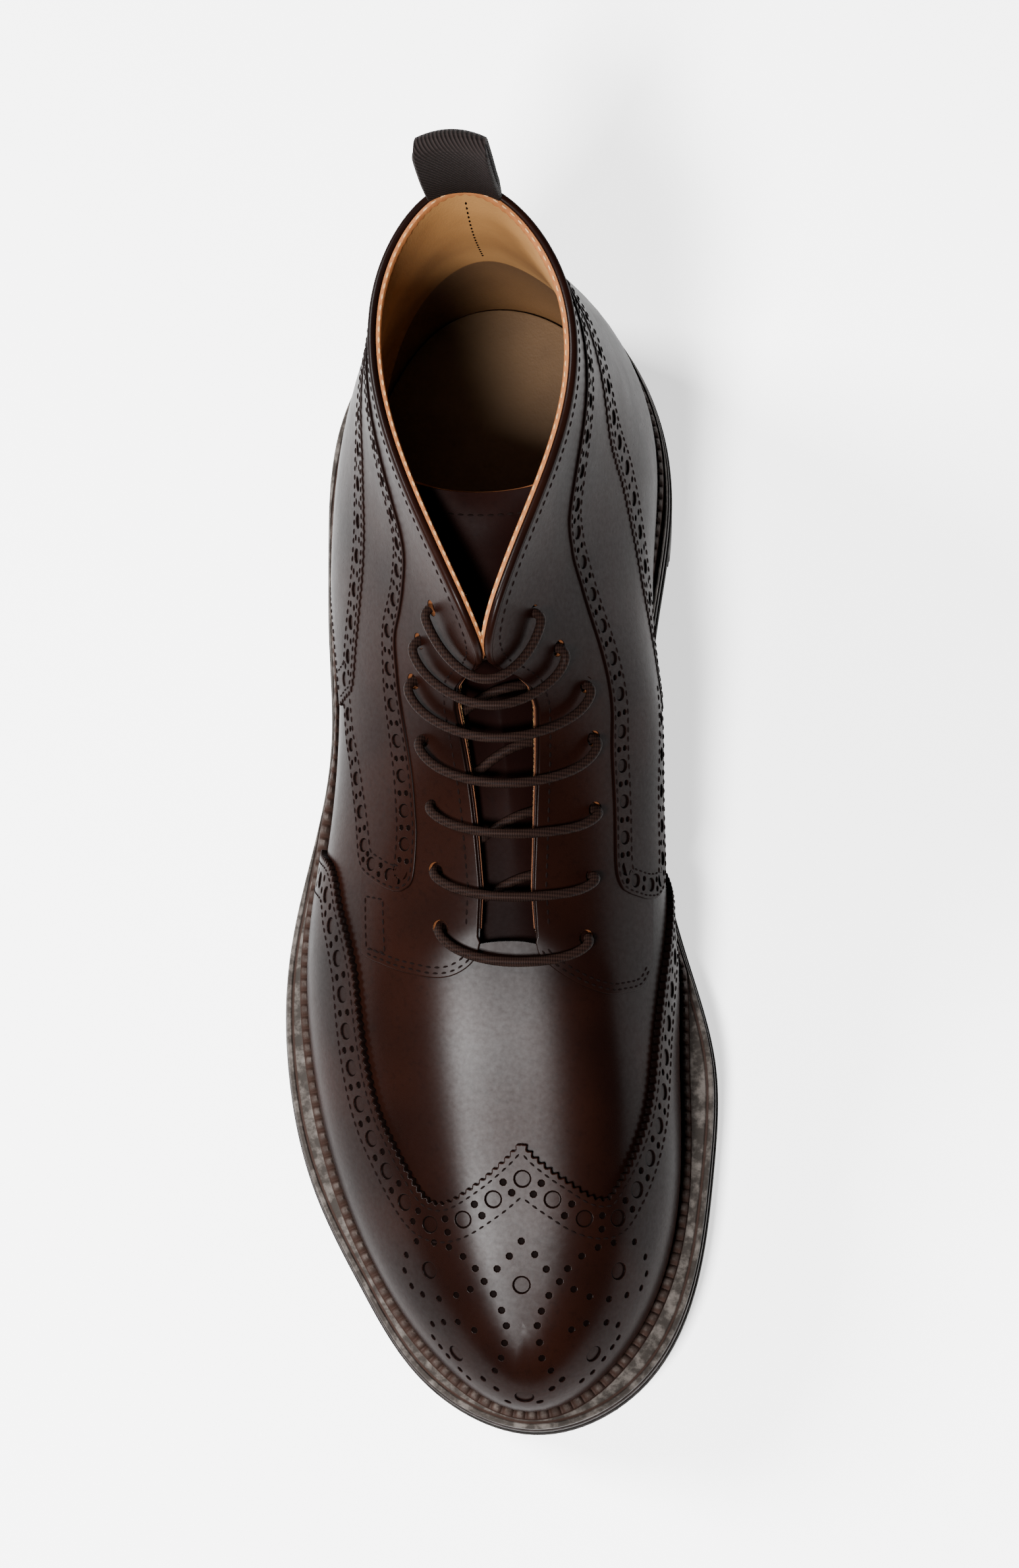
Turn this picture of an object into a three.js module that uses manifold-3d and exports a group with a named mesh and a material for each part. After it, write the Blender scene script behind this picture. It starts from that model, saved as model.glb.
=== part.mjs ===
// A wingtip lace-up ankle boot for the right foot, size 43: upper with its overlays, tongue, lace,
// insole, storm welt, midsole, lugged outsole and heel. Millimetres, +Z up, toe toward -Y, big-toe
// side toward +X. The origin is on the ground under the middle of the boot.
import * as THREE from 'three';
import Module from 'manifold-3d';
import { mergeVertices } from 'three/addons/utils/BufferGeometryUtils.js';

const wasm = await Module();
wasm.setup();

// Driving sizes
const soleLength = 308;
const ballWidth = 115;
const collarHeight = 152;
const heelRise = 38;
const foreRise = 17.5;
const toeSpring = 10;
const upperWall = 2;
const overlayThickness = 1.1;
const seam = 0.35;
const weltThickness = 3.2;
const weltInside = 7;
const stormRibHeight = 2.6;
const stormRibWidth = 2.1;
const midsoleThickness = 3.2;
const outsoleThickness = 4;
const soleStep = 0.5;
const treadGap = 0.4;
const treadDepth = 13;
const liftThickness = 9;
const liftTread = 3.6;
const insoleThickness = 3;
const tongueThickness = 2;
const laceDiameter = 2.4;
const laceClearance = 0.45;
const barSlack = 0.6;
const eyeletDiameter = 3.8;
const strapWidth = 17;
const strapThickness = 1.6;
const strapRise = 23;
const strapGap = 5;

// Stations round the boot, from the toe tip back to the heel, for the outer and the inner half.
// along and topAlong are shares of the sole length from the heel; lateral, medial, belly, reach and
// welt are shares of the ball width; topHigh and reachDown are shares of the collar height. A section
// rises from the feather line over the belly, bends in by reach and ends on the ridge or the collar.
const stationColumns = ['along', 'lateral', 'medial', 'topAlong', 'topHigh', 'topLateral', 'topMedial',
  'bellyLateral', 'bellyMedial', 'bellyHigh', 'reachLateral', 'reachMedial', 'reachAlong', 'reachDown',
  'weltLateral', 'weltMedial'];
const stations = [
  [0.976, 0.078, 0.078, 0.912, 0.395, 0.074, 0.074, 0.043, 0.043, 0.62, 0, 0, 0.049, 0.014, 0.068, 0.068],
  [0.938, -0.113, 0.252, 0.854, 0.428, 0.074, 0.074, 0.039, 0.039, 0.62, -0.148, 0.148, 0.026, 0.011, 0.081, 0.094],
  [0.864, -0.261, 0.357, 0.782, 0.461, 0.07, 0.07, 0.03, 0.026, 0.6, -0.209, 0.183, 0.01, 0.004, 0.074, 0.09],
  [0.776, -0.365, 0.391, 0.701, 0.497, 0.061, 0.061, 0.026, 0.026, 0.58, -0.235, 0.183, 0, 0, 0.087, 0.09],
  [0.682, -0.422, 0.387, 0.62, 0.549, 0.052, 0.052, 0.026, 0.026, 0.55, -0.235, 0.165, 0, 0, 0.087, 0.098],
  [0.591, -0.435, 0.374, 0.542, 0.612, 0.048, 0.048, 0.026, 0.065, 0.5, -0.217, 0.157, 0, 0.007, 0.075, 0.045],
  [0.503, -0.4, 0.322, 0.474, 0.684, 0.035, 0.035, 0.035, 0.148, 0.45, -0.191, 0.174, 0, 0.033, 0.059, 0.037],
  [0.412, -0.374, 0.296, 0.427, 0.796, 0.01, 0.024, 0.039, 0.187, 0.42, -0.157, 0.157, -0.016, 0.079, 0.04, 0.038],
  [0.321, -0.374, 0.287, 0.412, 0.928, 0.002, 0.016, 0.039, 0.152, 0.38, -0.13, 0.13, -0.039, 0.158, 0.044, 0.056],
  [0.231, -0.37, 0.317, 0.334, 0.98, -0.096, 0.091, 0.039, 0.078, 0.36, -0.061, 0.061, -0.013, 0.224, 0.052, 0.06],
  [0.14, -0.33, 0.309, 0.221, 0.974, -0.209, 0.187, 0.035, 0.043, 0.36, -0.035, 0.035, 0, 0.237, 0.073, 0.054],
  [0.055, -0.209, 0.183, 0.11, 0.984, -0.204, 0.157, 0.039, 0.039, 0.34, -0.009, 0.009, 0.013, 0.25, 0.068, 0.06],
  [0.024, -0.022, -0.022, 0.047, 1, -0.035, -0.035, 0.043, 0.043, 0.33, 0, 0, 0.019, 0.25, 0.065, 0.065],
].map((row) => Object.fromEntries(row.map((value, k) => [stationColumns[k], value])));
const half = stations.length - 1;
const full = 2 * half;

// Shares of the sole length where the sole starts to fall from the heel, where it lies flat under the
// ball and where the toe spring starts.
const archBack = 0.227;
const archFront = 0.617;
const springStart = 0.753;
const sideShift = 0.012 * ballWidth;
const upperGap = 0.6;
const overlayGap = seam + 0.2;
const overlayOut = overlayGap + overlayThickness;

// Edge lines of the panels, read as station number against share of the section's height.
const facingEdge = [[0, 0.9], [4.05, 0.9], [4.6, 0.91], [5.4, 0.89], [6, 0.873], [6.6, 0.858], [6.9, 0.87],
  [7.1, 0.91], [7.3, 0.955], [7.6, 0.98], [8, 0.99], [8.5, 1], [12, 1]];
const throatStation = 4.05;
const wingFront = [[0.58, 2.08], [0.63, 1.88], [0.69, 1.8], [0.85, 1.82], [0.94, 1.95], [1, 2.08]];
const wingSide = {
  lateral: [[2.08, 0.58], [2.6, 0.525], [3.1, 0.483], [4.1, 0.467], [4.7, 0.425], [5.05, 0.383], [5.35, 0.34],
    [5.6, 0.28], [5.9, 0.1]],
  medial: [[2.08, 0.58], [2.6, 0.483], [3.25, 0.385], [4.1, 0.3], [4.7, 0.25], [5.3, 0.18], [5.7, 0.08]],
};
const counterTop = {
  lateral: [[7.15, 0.31], [7.3, 0.385], [7.7, 0.41], [8.2, 0.44], [8.7, 0.48], [9.1, 0.52], [9.4, 0.56], [10, 0.66],
    [11, 0.78], [12, 0.84]],
  medial: [[7.15, 0.22], [7.8, 0.26], [8.15, 0.292], [8.8, 0.367], [9.35, 0.475], [10, 0.667], [11, 0.79], [12, 0.84]],
};
const counterFoot = {
  lateral: [[7.15, 0.3], [7.45, 0.25], [7.95, 0.19], [8.3, 0.12], [8.7, 0.04], [12, 0.04]],
  medial: [[7.15, 0.21], [7.45, 0.18], [7.95, 0.14], [8.3, 0.09], [8.7, 0.04], [12, 0.04]],
};
const quarterTop = {
  lateral: [[4.8, 0.65], [4.9, 0.69], [5.3, 0.7], [6.1, 0.675], [6.75, 0.642], [7.2, 0.622], [7.73, 0.61], [8.1, 0.635],
    [8.55, 0.69], [9.05, 0.775], [9.5, 0.82], [10, 0.87], [12, 0.9]],
  medial: [[4.97, 0.53], [5.1, 0.57], [5.7, 0.583], [6.3, 0.592], [6.9, 0.578], [7.77, 0.583], [8.42, 0.625], [8.9, 0.7],
    [9.3, 0.78], [10, 0.87], [12, 0.9]],
};
const quarterFoot = {
  lateral: [[4.8, 0.62], [4.98, 0.567], [5.28, 0.485], [5.8, 0.442], [6.4, 0.385], [6.75, 0.342], [7.08, 0.315]],
  medial: [[4.97, 0.47], [5.15, 0.38], [5.4, 0.3], [5.8, 0.28], [6.4, 0.28], [7.08, 0.26]],
};
const tabFront = {
  lateral: [[4.4, 0.5], [4.2, 0.575], [4.06, 0.625], [3.96, 0.675], [3.86, 0.742], [3.84, 0.82], [3.93, 0.885]],
  medial: [[4.45, 0.36], [4.2, 0.42], [4, 0.52], [3.88, 0.6], [3.82, 0.7], [3.86, 0.82], [3.95, 0.885]],
};

// Eyelets as station number and share of the section's height, from the top pair down.
const eyelets = {
  lateral: [[8.33, 0.81], [7.75, 0.715], [7.08, 0.69], [6.35, 0.72], [5.6, 0.75], [4.88, 0.765], [4.3, 0.78]],
  medial: [[8.27, 0.815], [7.62, 0.73], [7.02, 0.665], [6.38, 0.66], [5.62, 0.66], [4.93, 0.665], [4.3, 0.69]],
};

// Small tools

function clamp01(value) {
  return Math.min(1, Math.max(0, value));
}

function mix(from, to, share) {
  return from + (to - from) * share;
}

// Straight-line reading of a table of [place, value] rows
function read(rows, place) {
  const last = rows.length - 1;
  if (place <= rows[0][0]) return rows[0][1];
  if (place >= rows[last][0]) return rows[last][1];
  const k = rows.findIndex((row, i) => i < last && place <= rows[i + 1][0]);
  return mix(rows[k][1], rows[k + 1][1], (place - rows[k][0]) / (rows[k + 1][0] - rows[k][0]));
}

function steps(from, to, count) {
  return Array.from({ length: count + 1 }, (unused, k) => mix(from, to, k / count));
}

// Height of the welt's top at a place along the boot, measured forward from the heel
function weltTop(along) {
  const fall = clamp01((along / soleLength - archBack) / (archFront - archBack));
  const rise = Math.max(0, (along / soleLength - springStart) / (1 - springStart));
  return mix(heelRise, foreRise, fall * fall * (3 - 2 * fall)) + toeSpring * rise ** 1.7;
}

function place(across, along, high) {
  return new THREE.Vector3(across + sideShift, soleLength / 2 - along, high);
}

function alongOf(point) {
  return soleLength / 2 - point.y;
}

// Control points of the closed cubic B-spline that passes through the given points
function throughPoints(points) {
  const count = points.length;
  const control = points.map((point) => point.clone());
  for (let pass = 0; pass < 60; pass += 1) {
    control.forEach((value, k) => {
      const sides = control[(k + 1) % count].clone().add(control[(k + count - 1) % count]);
      value.copy(points[k]).multiplyScalar(6).sub(sides).divideScalar(4);
    });
  }
  return control;
}

// Point of the closed cubic B-spline at a station, and its direction when slope is true
function onLoop(control, station, slope = false) {
  const count = control.length;
  const wrapped = ((station % count) + count) % count;
  const k = Math.floor(wrapped);
  const f = wrapped - k;
  const g = 1 - f;
  const weights = slope
    ? [-g * g / 2, (3 * f * f - 4 * f) / 2, (-3 * f * f + 2 * f + 1) / 2, f * f / 2]
    : [g * g * g / 6, (3 * f ** 3 - 6 * f * f + 4) / 6, (-3 * f ** 3 + 3 * f * f + 3 * f + 1) / 6, f ** 3 / 6];
  const sum = new THREE.Vector3();
  weights.forEach((weight, i) => sum.addScaledVector(control[(k + i - 1 + count) % count], weight));
  return sum;
}

// One loop through a value of every station: outer half toe to heel, then inner half heel to toe
function stationLoop(lateral, medial) {
  const inner = stations.slice(1, half).reverse();
  return [...stations.map(lateral), ...inner.map(medial)];
}

const featherPoints = stationLoop(
  (row) => place(row.lateral * ballWidth, row.along * soleLength, weltTop(row.along * soleLength) + upperGap),
  (row) => place(row.medial * ballWidth, row.along * soleLength, weltTop(row.along * soleLength) + upperGap),
);
const featherLoop = throughPoints(featherPoints);

// Direction out of the boot, level with the ground, at a station of the feather line
function outward(station) {
  const run = onLoop(featherLoop, station, true);
  return new THREE.Vector3(-run.y, run.x, 0).normalize();
}

const topPoints = stationLoop(
  (row) => place(row.topLateral * ballWidth, row.topAlong * soleLength, row.topHigh * collarHeight),
  (row) => place(row.topMedial * ballWidth, row.topAlong * soleLength, row.topHigh * collarHeight),
);
const bellies = stationLoop((row) => row.bellyLateral * ballWidth, (row) => row.bellyMedial * ballWidth);
const bellyHighs = stationLoop((row) => row.bellyHigh, (row) => row.bellyHigh);
const bellyPoints = featherPoints.map((point, k) => {
  const belly = point.clone().addScaledVector(outward(k), bellies[k]);
  belly.z += bellyHighs[k] * (topPoints[k].z - point.z);
  return belly;
});
const reachOf = (row, across) => new THREE.Vector3(
  across * ballWidth,
  -row.reachAlong * soleLength,
  -row.reachDown * collarHeight,
);
const reaches = stationLoop((row) => reachOf(row, row.reachLateral), (row) => reachOf(row, row.reachMedial));
const reachPoints = topPoints.map((point, k) => point.clone().add(reaches[k]));
const upperLoops = [featherPoints, bellyPoints, reachPoints, topPoints].map(throughPoints);
const weltWidths = throughPoints(stationLoop(
  (row) => new THREE.Vector3(row.weltLateral * ballWidth, 0, 0),
  (row) => new THREE.Vector3(row.weltMedial * ballWidth, 0, 0),
));

// The upper's outer face: a cubic from the feather line to the ridge or collar at every station
function upperPoint(station, share) {
  const [feather, belly, reach, top] = upperLoops.map((loop) => onLoop(loop, station));
  const rest = 1 - share;
  return feather.multiplyScalar(rest ** 3)
    .addScaledVector(belly, 3 * share * rest * rest)
    .addScaledVector(reach, 3 * share * share * rest)
    .addScaledVector(top, share ** 3);
}

function upperNormal(station, share) {
  const nudge = 0.01;
  const low = Math.max(0, share - nudge);
  const high = Math.min(1, share + nudge);
  const round = upperPoint(station + nudge, share).sub(upperPoint(station - nudge, share));
  const rise = upperPoint(station, high).sub(upperPoint(station, low));
  return rise.cross(round).normalize();
}

// A point set off from the upper's face. In front of the throat the halves meet on the ridge.
function offUpper(station, share, distance) {
  const point = upperPoint(station, share);
  const normal = upperNormal(station, share);
  const fromToe = Math.min(station, full - station);
  if (share === 1 && fromToe <= throatStation) {
    point.add(upperPoint(full - station, 1)).multiplyScalar(0.5);
    normal.add(upperNormal(full - station, 1)).normalize();
  }
  return point.addScaledVector(normal, distance);
}

// Solid from triangles with shared corners, faces turned outward
function solidOf(points, faces) {
  let volume = 0;
  faces.forEach(([a, b, c]) => {
    volume += points[a].dot(points[b].clone().cross(points[c]));
  });
  const turned = volume < 0 ? faces.map(([a, b, c]) => [a, c, b]) : faces;
  const mesh = new wasm.Mesh({
    numProp: 3,
    vertProperties: new Float32Array(points.flatMap((point) => [point.x, point.y, point.z])),
    triVerts: new Uint32Array(turned.flat()),
  });
  return new wasm.Manifold(mesh);
}

// A sheet holds pairs of points, one on each face, and turns them into a closed shell.
class Sheet {
  constructor() {
    this.outer = [];
    this.inner = [];
    this.faces = [];
    this.known = new Map();
  }

  pair(outer, inner) {
    const key = outer.toArray().map((value) => Math.round(value * 1000)).join(' ');
    if (!this.known.has(key)) {
      this.known.set(key, this.outer.length);
      this.outer.push(outer);
      this.inner.push(inner);
    }
    return this.known.get(key);
  }

  // Triangles between two columns of { id, share }, climbing the column whose next share is lower
  strip(left, right) {
    let [i, j] = [0, 0];
    while (i + 1 < left.length || j + 1 < right.length) {
      const rise = (i + 1 < left.length ? left[i + 1].share : Infinity)
        - (j + 1 < right.length ? right[j + 1].share : Infinity);
      const level = Math.abs(rise) < 1e-9;
      const cross = level && this.outer[left[i].id].distanceTo(this.outer[right[j + 1].id])
        > this.outer[left[i + 1].id].distanceTo(this.outer[right[j].id]);
      const climbLeft = level ? cross : rise < 0;
      const tip = climbLeft ? left[i + 1].id : right[j + 1].id;
      const face = [left[i].id, right[j].id, tip];
      if (new Set(face).size === 3) this.faces.push(face);
      if (climbLeft) i += 1;
      else j += 1;
    }
  }

  grid(columns) {
    columns.slice(1).forEach((column, k) => this.strip(columns[k], column));
    return this;
  }

  solid() {
    const count = this.outer.length;
    const edges = new Map();
    this.faces.forEach((face) => {
      face.forEach((from, k) => edges.set(`${from} ${face[(k + 1) % 3]}`, [from, face[(k + 1) % 3]]));
    });
    const rim = [...edges.values()].filter(([from, to]) => !edges.has(`${to} ${from}`));
    const walls = rim.flatMap(([from, to]) => [[to, from, from + count], [to, from + count, to + count]]);
    const backs = this.faces.map(([a, b, c]) => [a + count, c + count, b + count]);
    return solidOf([...this.outer, ...this.inner], [...this.faces, ...backs, ...walls]);
  }
}

// Shell over the upper from groups of columns of [station, share], between two distances from its face
function shellOver(groups, outer, inner) {
  const sheet = new Sheet();
  groups.forEach((columns) => sheet.grid(columns.map((column) => column.map(([station, share]) => ({
    id: sheet.pair(offUpper(station, share, outer), offUpper(station, share, inner)),
    share,
  })))));
  return sheet.solid();
}

function overlay(groups) {
  return shellOver(groups, overlayOut, overlayGap);
}

// Columns for both sides of the boot, from one side's table of columns in stations from the toe
function onSide(columns, side) {
  return side === 'lateral' ? columns : columns.map((column) => column.map(([t, share]) => [full - t, share]));
}

function solidOfGeometry(geometry) {
  geometry.deleteAttribute('normal');
  geometry.deleteAttribute('uv');
  const merged = mergeVertices(geometry, 0.001);
  const position = merged.getAttribute('position');
  const points = Array.from({ length: position.count }, (unused, k) => (
    new THREE.Vector3().fromBufferAttribute(position, k)));
  const index = Array.from(merged.index.array);
  const faces = Array.from({ length: index.length / 3 }, (unused, k) => index.slice(3 * k, 3 * k + 3));
  return solidOf(points, faces.filter((face) => new Set(face).size === 3));
}

function union(solids) {
  return solids.reduce((sum, solid) => sum.add(solid));
}

// Upper

const wingStation = wingFront[0][1];
const valleyStation = wingFront[2][1] - 0.1;
const halfStations = [
  ...steps(0, valleyStation, 5),
  wingStation,
  ...steps(wingStation, throatStation, 5).slice(1),
  ...steps(throatStation, half, 19).slice(1),
];
const around = [...halfStations, ...halfStations.slice(1, -1).reverse().map((station) => full - station)];
const collarRows = 8;
const ridgeRows = 2;

// Rows of a whole column: up to the facing's or the collar's edge, and on to the ridge
function edgeShares(station) {
  return steps(0, read(facingEdge, Math.min(station, full - station)), collarRows);
}

function ridgeShares(station) {
  return steps(read(facingEdge, Math.min(station, full - station)), 1, ridgeRows);
}

// Column of a panel between two shares, with the upper's own rows in between
function panelColumn(station, low, high) {
  const least = 0.012;
  const rows = [...edgeShares(station), ...ridgeShares(station).slice(1)];
  const between = rows.filter((share) => share > low + least && share < high - least);
  return [low, ...between, high].map((share) => [station, share]);
}

function stationsBetween(from, to) {
  const least = 0.1;
  return [from, ...halfStations.filter((station) => station > from + least && station < to - least), to];
}

function eyeletHole([station, share], side) {
  const t = side === 'lateral' ? station : full - station;
  const depth = 4 * (upperWall + overlayOut);
  const hole = new THREE.CylinderGeometry(eyeletDiameter / 2, eyeletDiameter / 2, depth, 6);
  const turn = new THREE.Quaternion().setFromUnitVectors(new THREE.Vector3(0, 1, 0), upperNormal(t, share));
  hole.applyQuaternion(turn);
  hole.translate(...upperPoint(t, share).toArray());
  return solidOfGeometry(hole);
}

const sides = ['lateral', 'medial'];

function punched(shell, side) {
  return eyelets[side].reduce((solid, eyelet) => solid.subtract(eyeletHole(eyelet, side)), shell);
}

// Shell over the whole foot, open at the collar, down the throat and underneath
function makeUpper() {
  const column = (shares) => (station) => shares(station).map((share) => [station, share]);
  const toe = [...around.filter((t) => t >= full - throatStation), ...around.filter((t) => t <= throatStation)];
  const columns = column(edgeShares);
  const ridge = column(ridgeShares);
  const shell = shellOver([[...around, 0].map(columns), toe.map(ridge)], 0, -upperWall);
  return sides.reduce((solid, side) => punched(solid, side), shell);
}

// Overlays: each is a stretch of one leather layer over the upper, on the upper's own rows

const overlayFoot = 0.04;
const panelSeam = 0.012;
const backSeam = 0.03;

function makeWing() {
  const frontStations = halfStations.filter((station) => station <= valleyStation);
  const frontColumns = frontStations.map((t) => panelColumn(t, overlayFoot, 1));
  const edgeColumn = [...panelColumn(wingStation, overlayFoot, wingFront[0][0]),
    ...wingFront.slice(1).map(([share, t]) => [t, share])];
  const sideColumns = (side) => stationsBetween(wingStation, wingSide[side].at(-1)[0])
    .map((t) => panelColumn(t, overlayFoot, read(wingSide[side], t)));
  const front = [...frontColumns, edgeColumn];
  const groups = [front, sideColumns('lateral')];
  const mirrored = [front, sideColumns('medial')].map((group) => onSide(group, 'medial').reverse());
  return overlay([...groups, ...mirrored]);
}

function makeCounter() {
  const column = (side) => (t) => panelColumn(t, read(counterFoot[side], t), read(counterTop[side], t));
  const columns = (side) => stationsBetween(counterFoot[side][0][0], half).map(column(side));
  return overlay([columns('lateral'), onSide(columns('medial'), 'medial').reverse()]);
}

function makeQuarter(side) {
  const columns = stationsBetween(quarterTop[side][0][0], half - backSeam).map((t) => {
    const counterEdge = t > counterTop[side][0][0] - 0.1 ? read(counterTop[side], t) + panelSeam : 0;
    return panelColumn(t, Math.max(read(quarterFoot[side], t), counterEdge), read(quarterTop[side], t));
  });
  return overlay([onSide(columns, side)]);
}

function makeFacing(side) {
  const edgeGap = 0.004;
  const tabEnd = quarterTop[side][0][0] - 0.06;
  const rear = stationsBetween(tabEnd, half - backSeam).map((t) => (
    panelColumn(t, read(quarterTop[side], t) + panelSeam, read(facingEdge, t) - edgeGap)));
  const front = [...tabFront[side], [throatStation, read(facingEdge, throatStation) - edgeGap]];
  return punched(overlay([onSide([front, ...rear], side)]), side);
}

// Tongue, insole and sole

// The tongue lies under the facings as far as the ankle and then leans back inside the collar. The free
// rows hold, in shares of the sole length, collar height and ball width, its middle, half its width and
// how far its sides fall back.
const tongueUnder = [3.3, 3.8, 4.4, 5, 5.6, 6.1];
const tongueSpread = { lateral: 0.28, medial: 0.36 };
const tongueFree = [
  { along: 0.417, high: 0.712, across: 0.019, width: 0.12, bow: 0.062 },
  { along: 0.392, high: 0.764, across: 0.012, width: 0.122, bow: 0.056 },
  { along: 0.362, high: 0.812, across: 0.005, width: 0.122, bow: 0.048 },
  { along: 0.325, high: 0.86, across: 0.001, width: 0.126, bow: 0.042 },
  { along: 0.284, high: 0.912, across: -0.004, width: 0.14, bow: 0.036 },
];

function makeTongue() {
  const acrossSteps = 6;
  const depth = -(upperWall + laceDiameter + 2 * laceClearance + seam);
  const sheet = new Sheet();
  const spread = steps(-1, 1, acrossSteps);
  const under = tongueUnder.map((t) => spread.map((s) => {
    const side = s < 0 ? 'lateral' : 'medial';
    const share = 1 - Math.abs(s) * tongueSpread[side];
    const stations = s === 0 ? [t, full - t] : [s < 0 ? t : full - t];
    const faces = stations.map((station) => offUpper(station, share, depth));
    const backs = stations.map((station) => offUpper(station, share, depth - tongueThickness));
    const middle = (points) => points.reduce((sum, point) => sum.add(point)).divideScalar(points.length);
    return [middle(faces), middle(backs)];
  }));
  const last = tongueFree.length - 1;
  const free = tongueFree.map((row, k) => {
    const [before, after] = [tongueFree[Math.max(0, k - 1)], tongueFree[Math.min(last, k + 1)]];
    const run = new THREE.Vector2((before.along - after.along) * soleLength, (after.high - before.high) * collarHeight);
    const out = new THREE.Vector3(0, -run.y, run.x).normalize();
    return spread.map((s) => {
      const normal = out.clone().add(new THREE.Vector3(2 * s * row.bow / row.width, 0, 0)).normalize();
      const face = place((row.across + s * row.width) * ballWidth, row.along * soleLength, row.high * collarHeight);
      face.addScaledVector(out, -s * s * row.bow * ballWidth);
      return [face, face.clone().addScaledVector(normal, -tongueThickness)];
    });
  });
  const columns = [...under, ...free].map((row) => row.map(([face, rear], k) => ({ id: sheet.pair(face, rear), share: k })));
  return sheet.grid(columns).solid();
}

function weltWidth(station) {
  return onLoop(weltWidths, station).x;
}

// A point at a distance out from the feather line and a height from the welt's top
function besideFeather(station, distance, high) {
  const point = onLoop(featherLoop, station).addScaledVector(outward(station), distance);
  point.z = weltTop(alongOf(point)) + high;
  return point;
}

// Slab under or inside the boot: rungs from the outer to the inner side, each with its own two heights
function slab({ from = 0, to = half, rungs, across, edge, top, bottom, bow = 0 }) {
  const sheet = new Sheet();
  const columns = steps(from, to, rungs).map((t) => {
    const left = besideFeather(t, edge(t), 0);
    const right = besideFeather(full - t, edge(full - t), 0);
    return steps(0, 1, across).map((f) => {
      const point = left.clone().lerp(right, f);
      point.y += bow * clamp01(from + 1 - t) * 4 * f * (1 - f);
      const high = point.clone().setZ(top(alongOf(point)));
      const low = point.clone().setZ(bottom(alongOf(point)));
      return { id: sheet.pair(high, low), share: f };
    });
  });
  return sheet.grid(columns).solid();
}

const midsoleTop = weltThickness + seam;
const outsoleTop = midsoleTop + midsoleThickness + seam;
const outsoleFoot = outsoleTop + outsoleThickness;
const heelTop = heelRise - outsoleFoot - seam;
const heelStation = 9;
const heelBreast = 4;

function makeInsole() {
  const lift = 0.4;
  return slab({
    rungs: 26,
    across: 4,
    edge: () => -(upperWall + 2 * seam),
    top: (along) => weltTop(along) + lift + insoleThickness,
    bottom: (along) => weltTop(along) + lift,
  });
}

function makeWelt() {
  const ribIn = overlayOut + 2 * seam;
  const count = around.length;
  const points = [];
  around.forEach((t) => {
    const edge = weltWidth(t) - 2 * soleStep;
    const section = [[-weltInside, -weltThickness], [-weltInside, 0], [ribIn, 0], [ribIn, stormRibHeight],
      [ribIn + stormRibWidth, stormRibHeight - 0.4], [ribIn + stormRibWidth + 0.3, 0], [edge, 0], [edge, -weltThickness]];
    points.push(...section.map(([distance, high]) => besideFeather(t, distance, high)));
  });
  const corners = points.length / count;
  const faces = [];
  for (let k = 0; k < count; k += 1) {
    for (let i = 0; i < corners; i += 1) {
      const here = k * corners;
      const next = ((k + 1) % count) * corners;
      const j = (i + 1) % corners;
      faces.push([here + i, next + i, next + j], [here + i, next + j, here + j]);
    }
  }
  return solidOf(points, faces);
}

function makeMidsole() {
  return slab({
    rungs: 33,
    across: 2,
    edge: (t) => weltWidth(t) - soleStep,
    top: (along) => weltTop(along) - midsoleTop,
    bottom: (along) => weltTop(along) - midsoleTop - midsoleThickness,
  });
}

// Lug between four corners on the plan, from the tread's face up into the slab over it
function lug(corners, face, root) {
  const sheet = new Sheet();
  const ids = corners.map((corner) => sheet.pair(
    corner.clone().setZ(root(alongOf(corner))),
    corner.clone().setZ(face(alongOf(corner))),
  ));
  sheet.faces.push([ids[0], ids[1], ids[2]], [ids[0], ids[2], ids[3]]);
  return sheet.solid();
}

function edgeLug(from, to, depth, face, root, inset = 0) {
  const outer = (t) => besideFeather(t, weltWidth(t) - inset, 0);
  const inner = (t) => besideFeather(t, weltWidth(t) - depth, 0);
  return lug([outer(from), outer(to), inner(to), inner(from)], face, root);
}

function makeOutsole() {
  const plate = slab({
    rungs: 33,
    across: 2,
    edge: weltWidth,
    top: (along) => weltTop(along) - outsoleTop,
    bottom: (along) => weltTop(along) - outsoleFoot,
  });
  const tread = (along) => weltTop(along) - foreRise;
  const root = (along) => weltTop(along) - outsoleFoot + outsoleThickness / 2;
  const pitch = 0.56;
  const lugHalf = 0.3 * pitch;
  const lugsEachSide = 10;
  const edges = steps(-lugsEachSide, lugsEachSide, 2 * lugsEachSide).map((k) => (
    edgeLug(k * pitch - lugHalf, k * pitch + lugHalf, treadDepth, tread, root, treadGap)));
  const barHalf = 5;
  const barGap = 5;
  const bars = [1.05, 2.1, 3.15, 4.2, 5.2].map((t) => {
    const [left, right] = [t, full - t].map((end) => besideFeather(end, weltWidth(end) - treadDepth - barGap, 0));
    const corner = (point, shift) => point.clone().add(new THREE.Vector3(0, shift, 0));
    const front = [corner(left, -barHalf), corner(right, -barHalf)];
    return lug([...front, corner(right, barHalf), corner(left, barHalf)], tread, root);
  });
  return union([plate, ...edges, ...bars]);
}

function makeHeelStack() {
  return slab({
    from: heelStation,
    rungs: 10,
    across: 4,
    bow: heelBreast,
    edge: (t) => weltWidth(t) - soleStep,
    top: () => heelTop,
    bottom: () => liftThickness + seam,
  });
}

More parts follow.
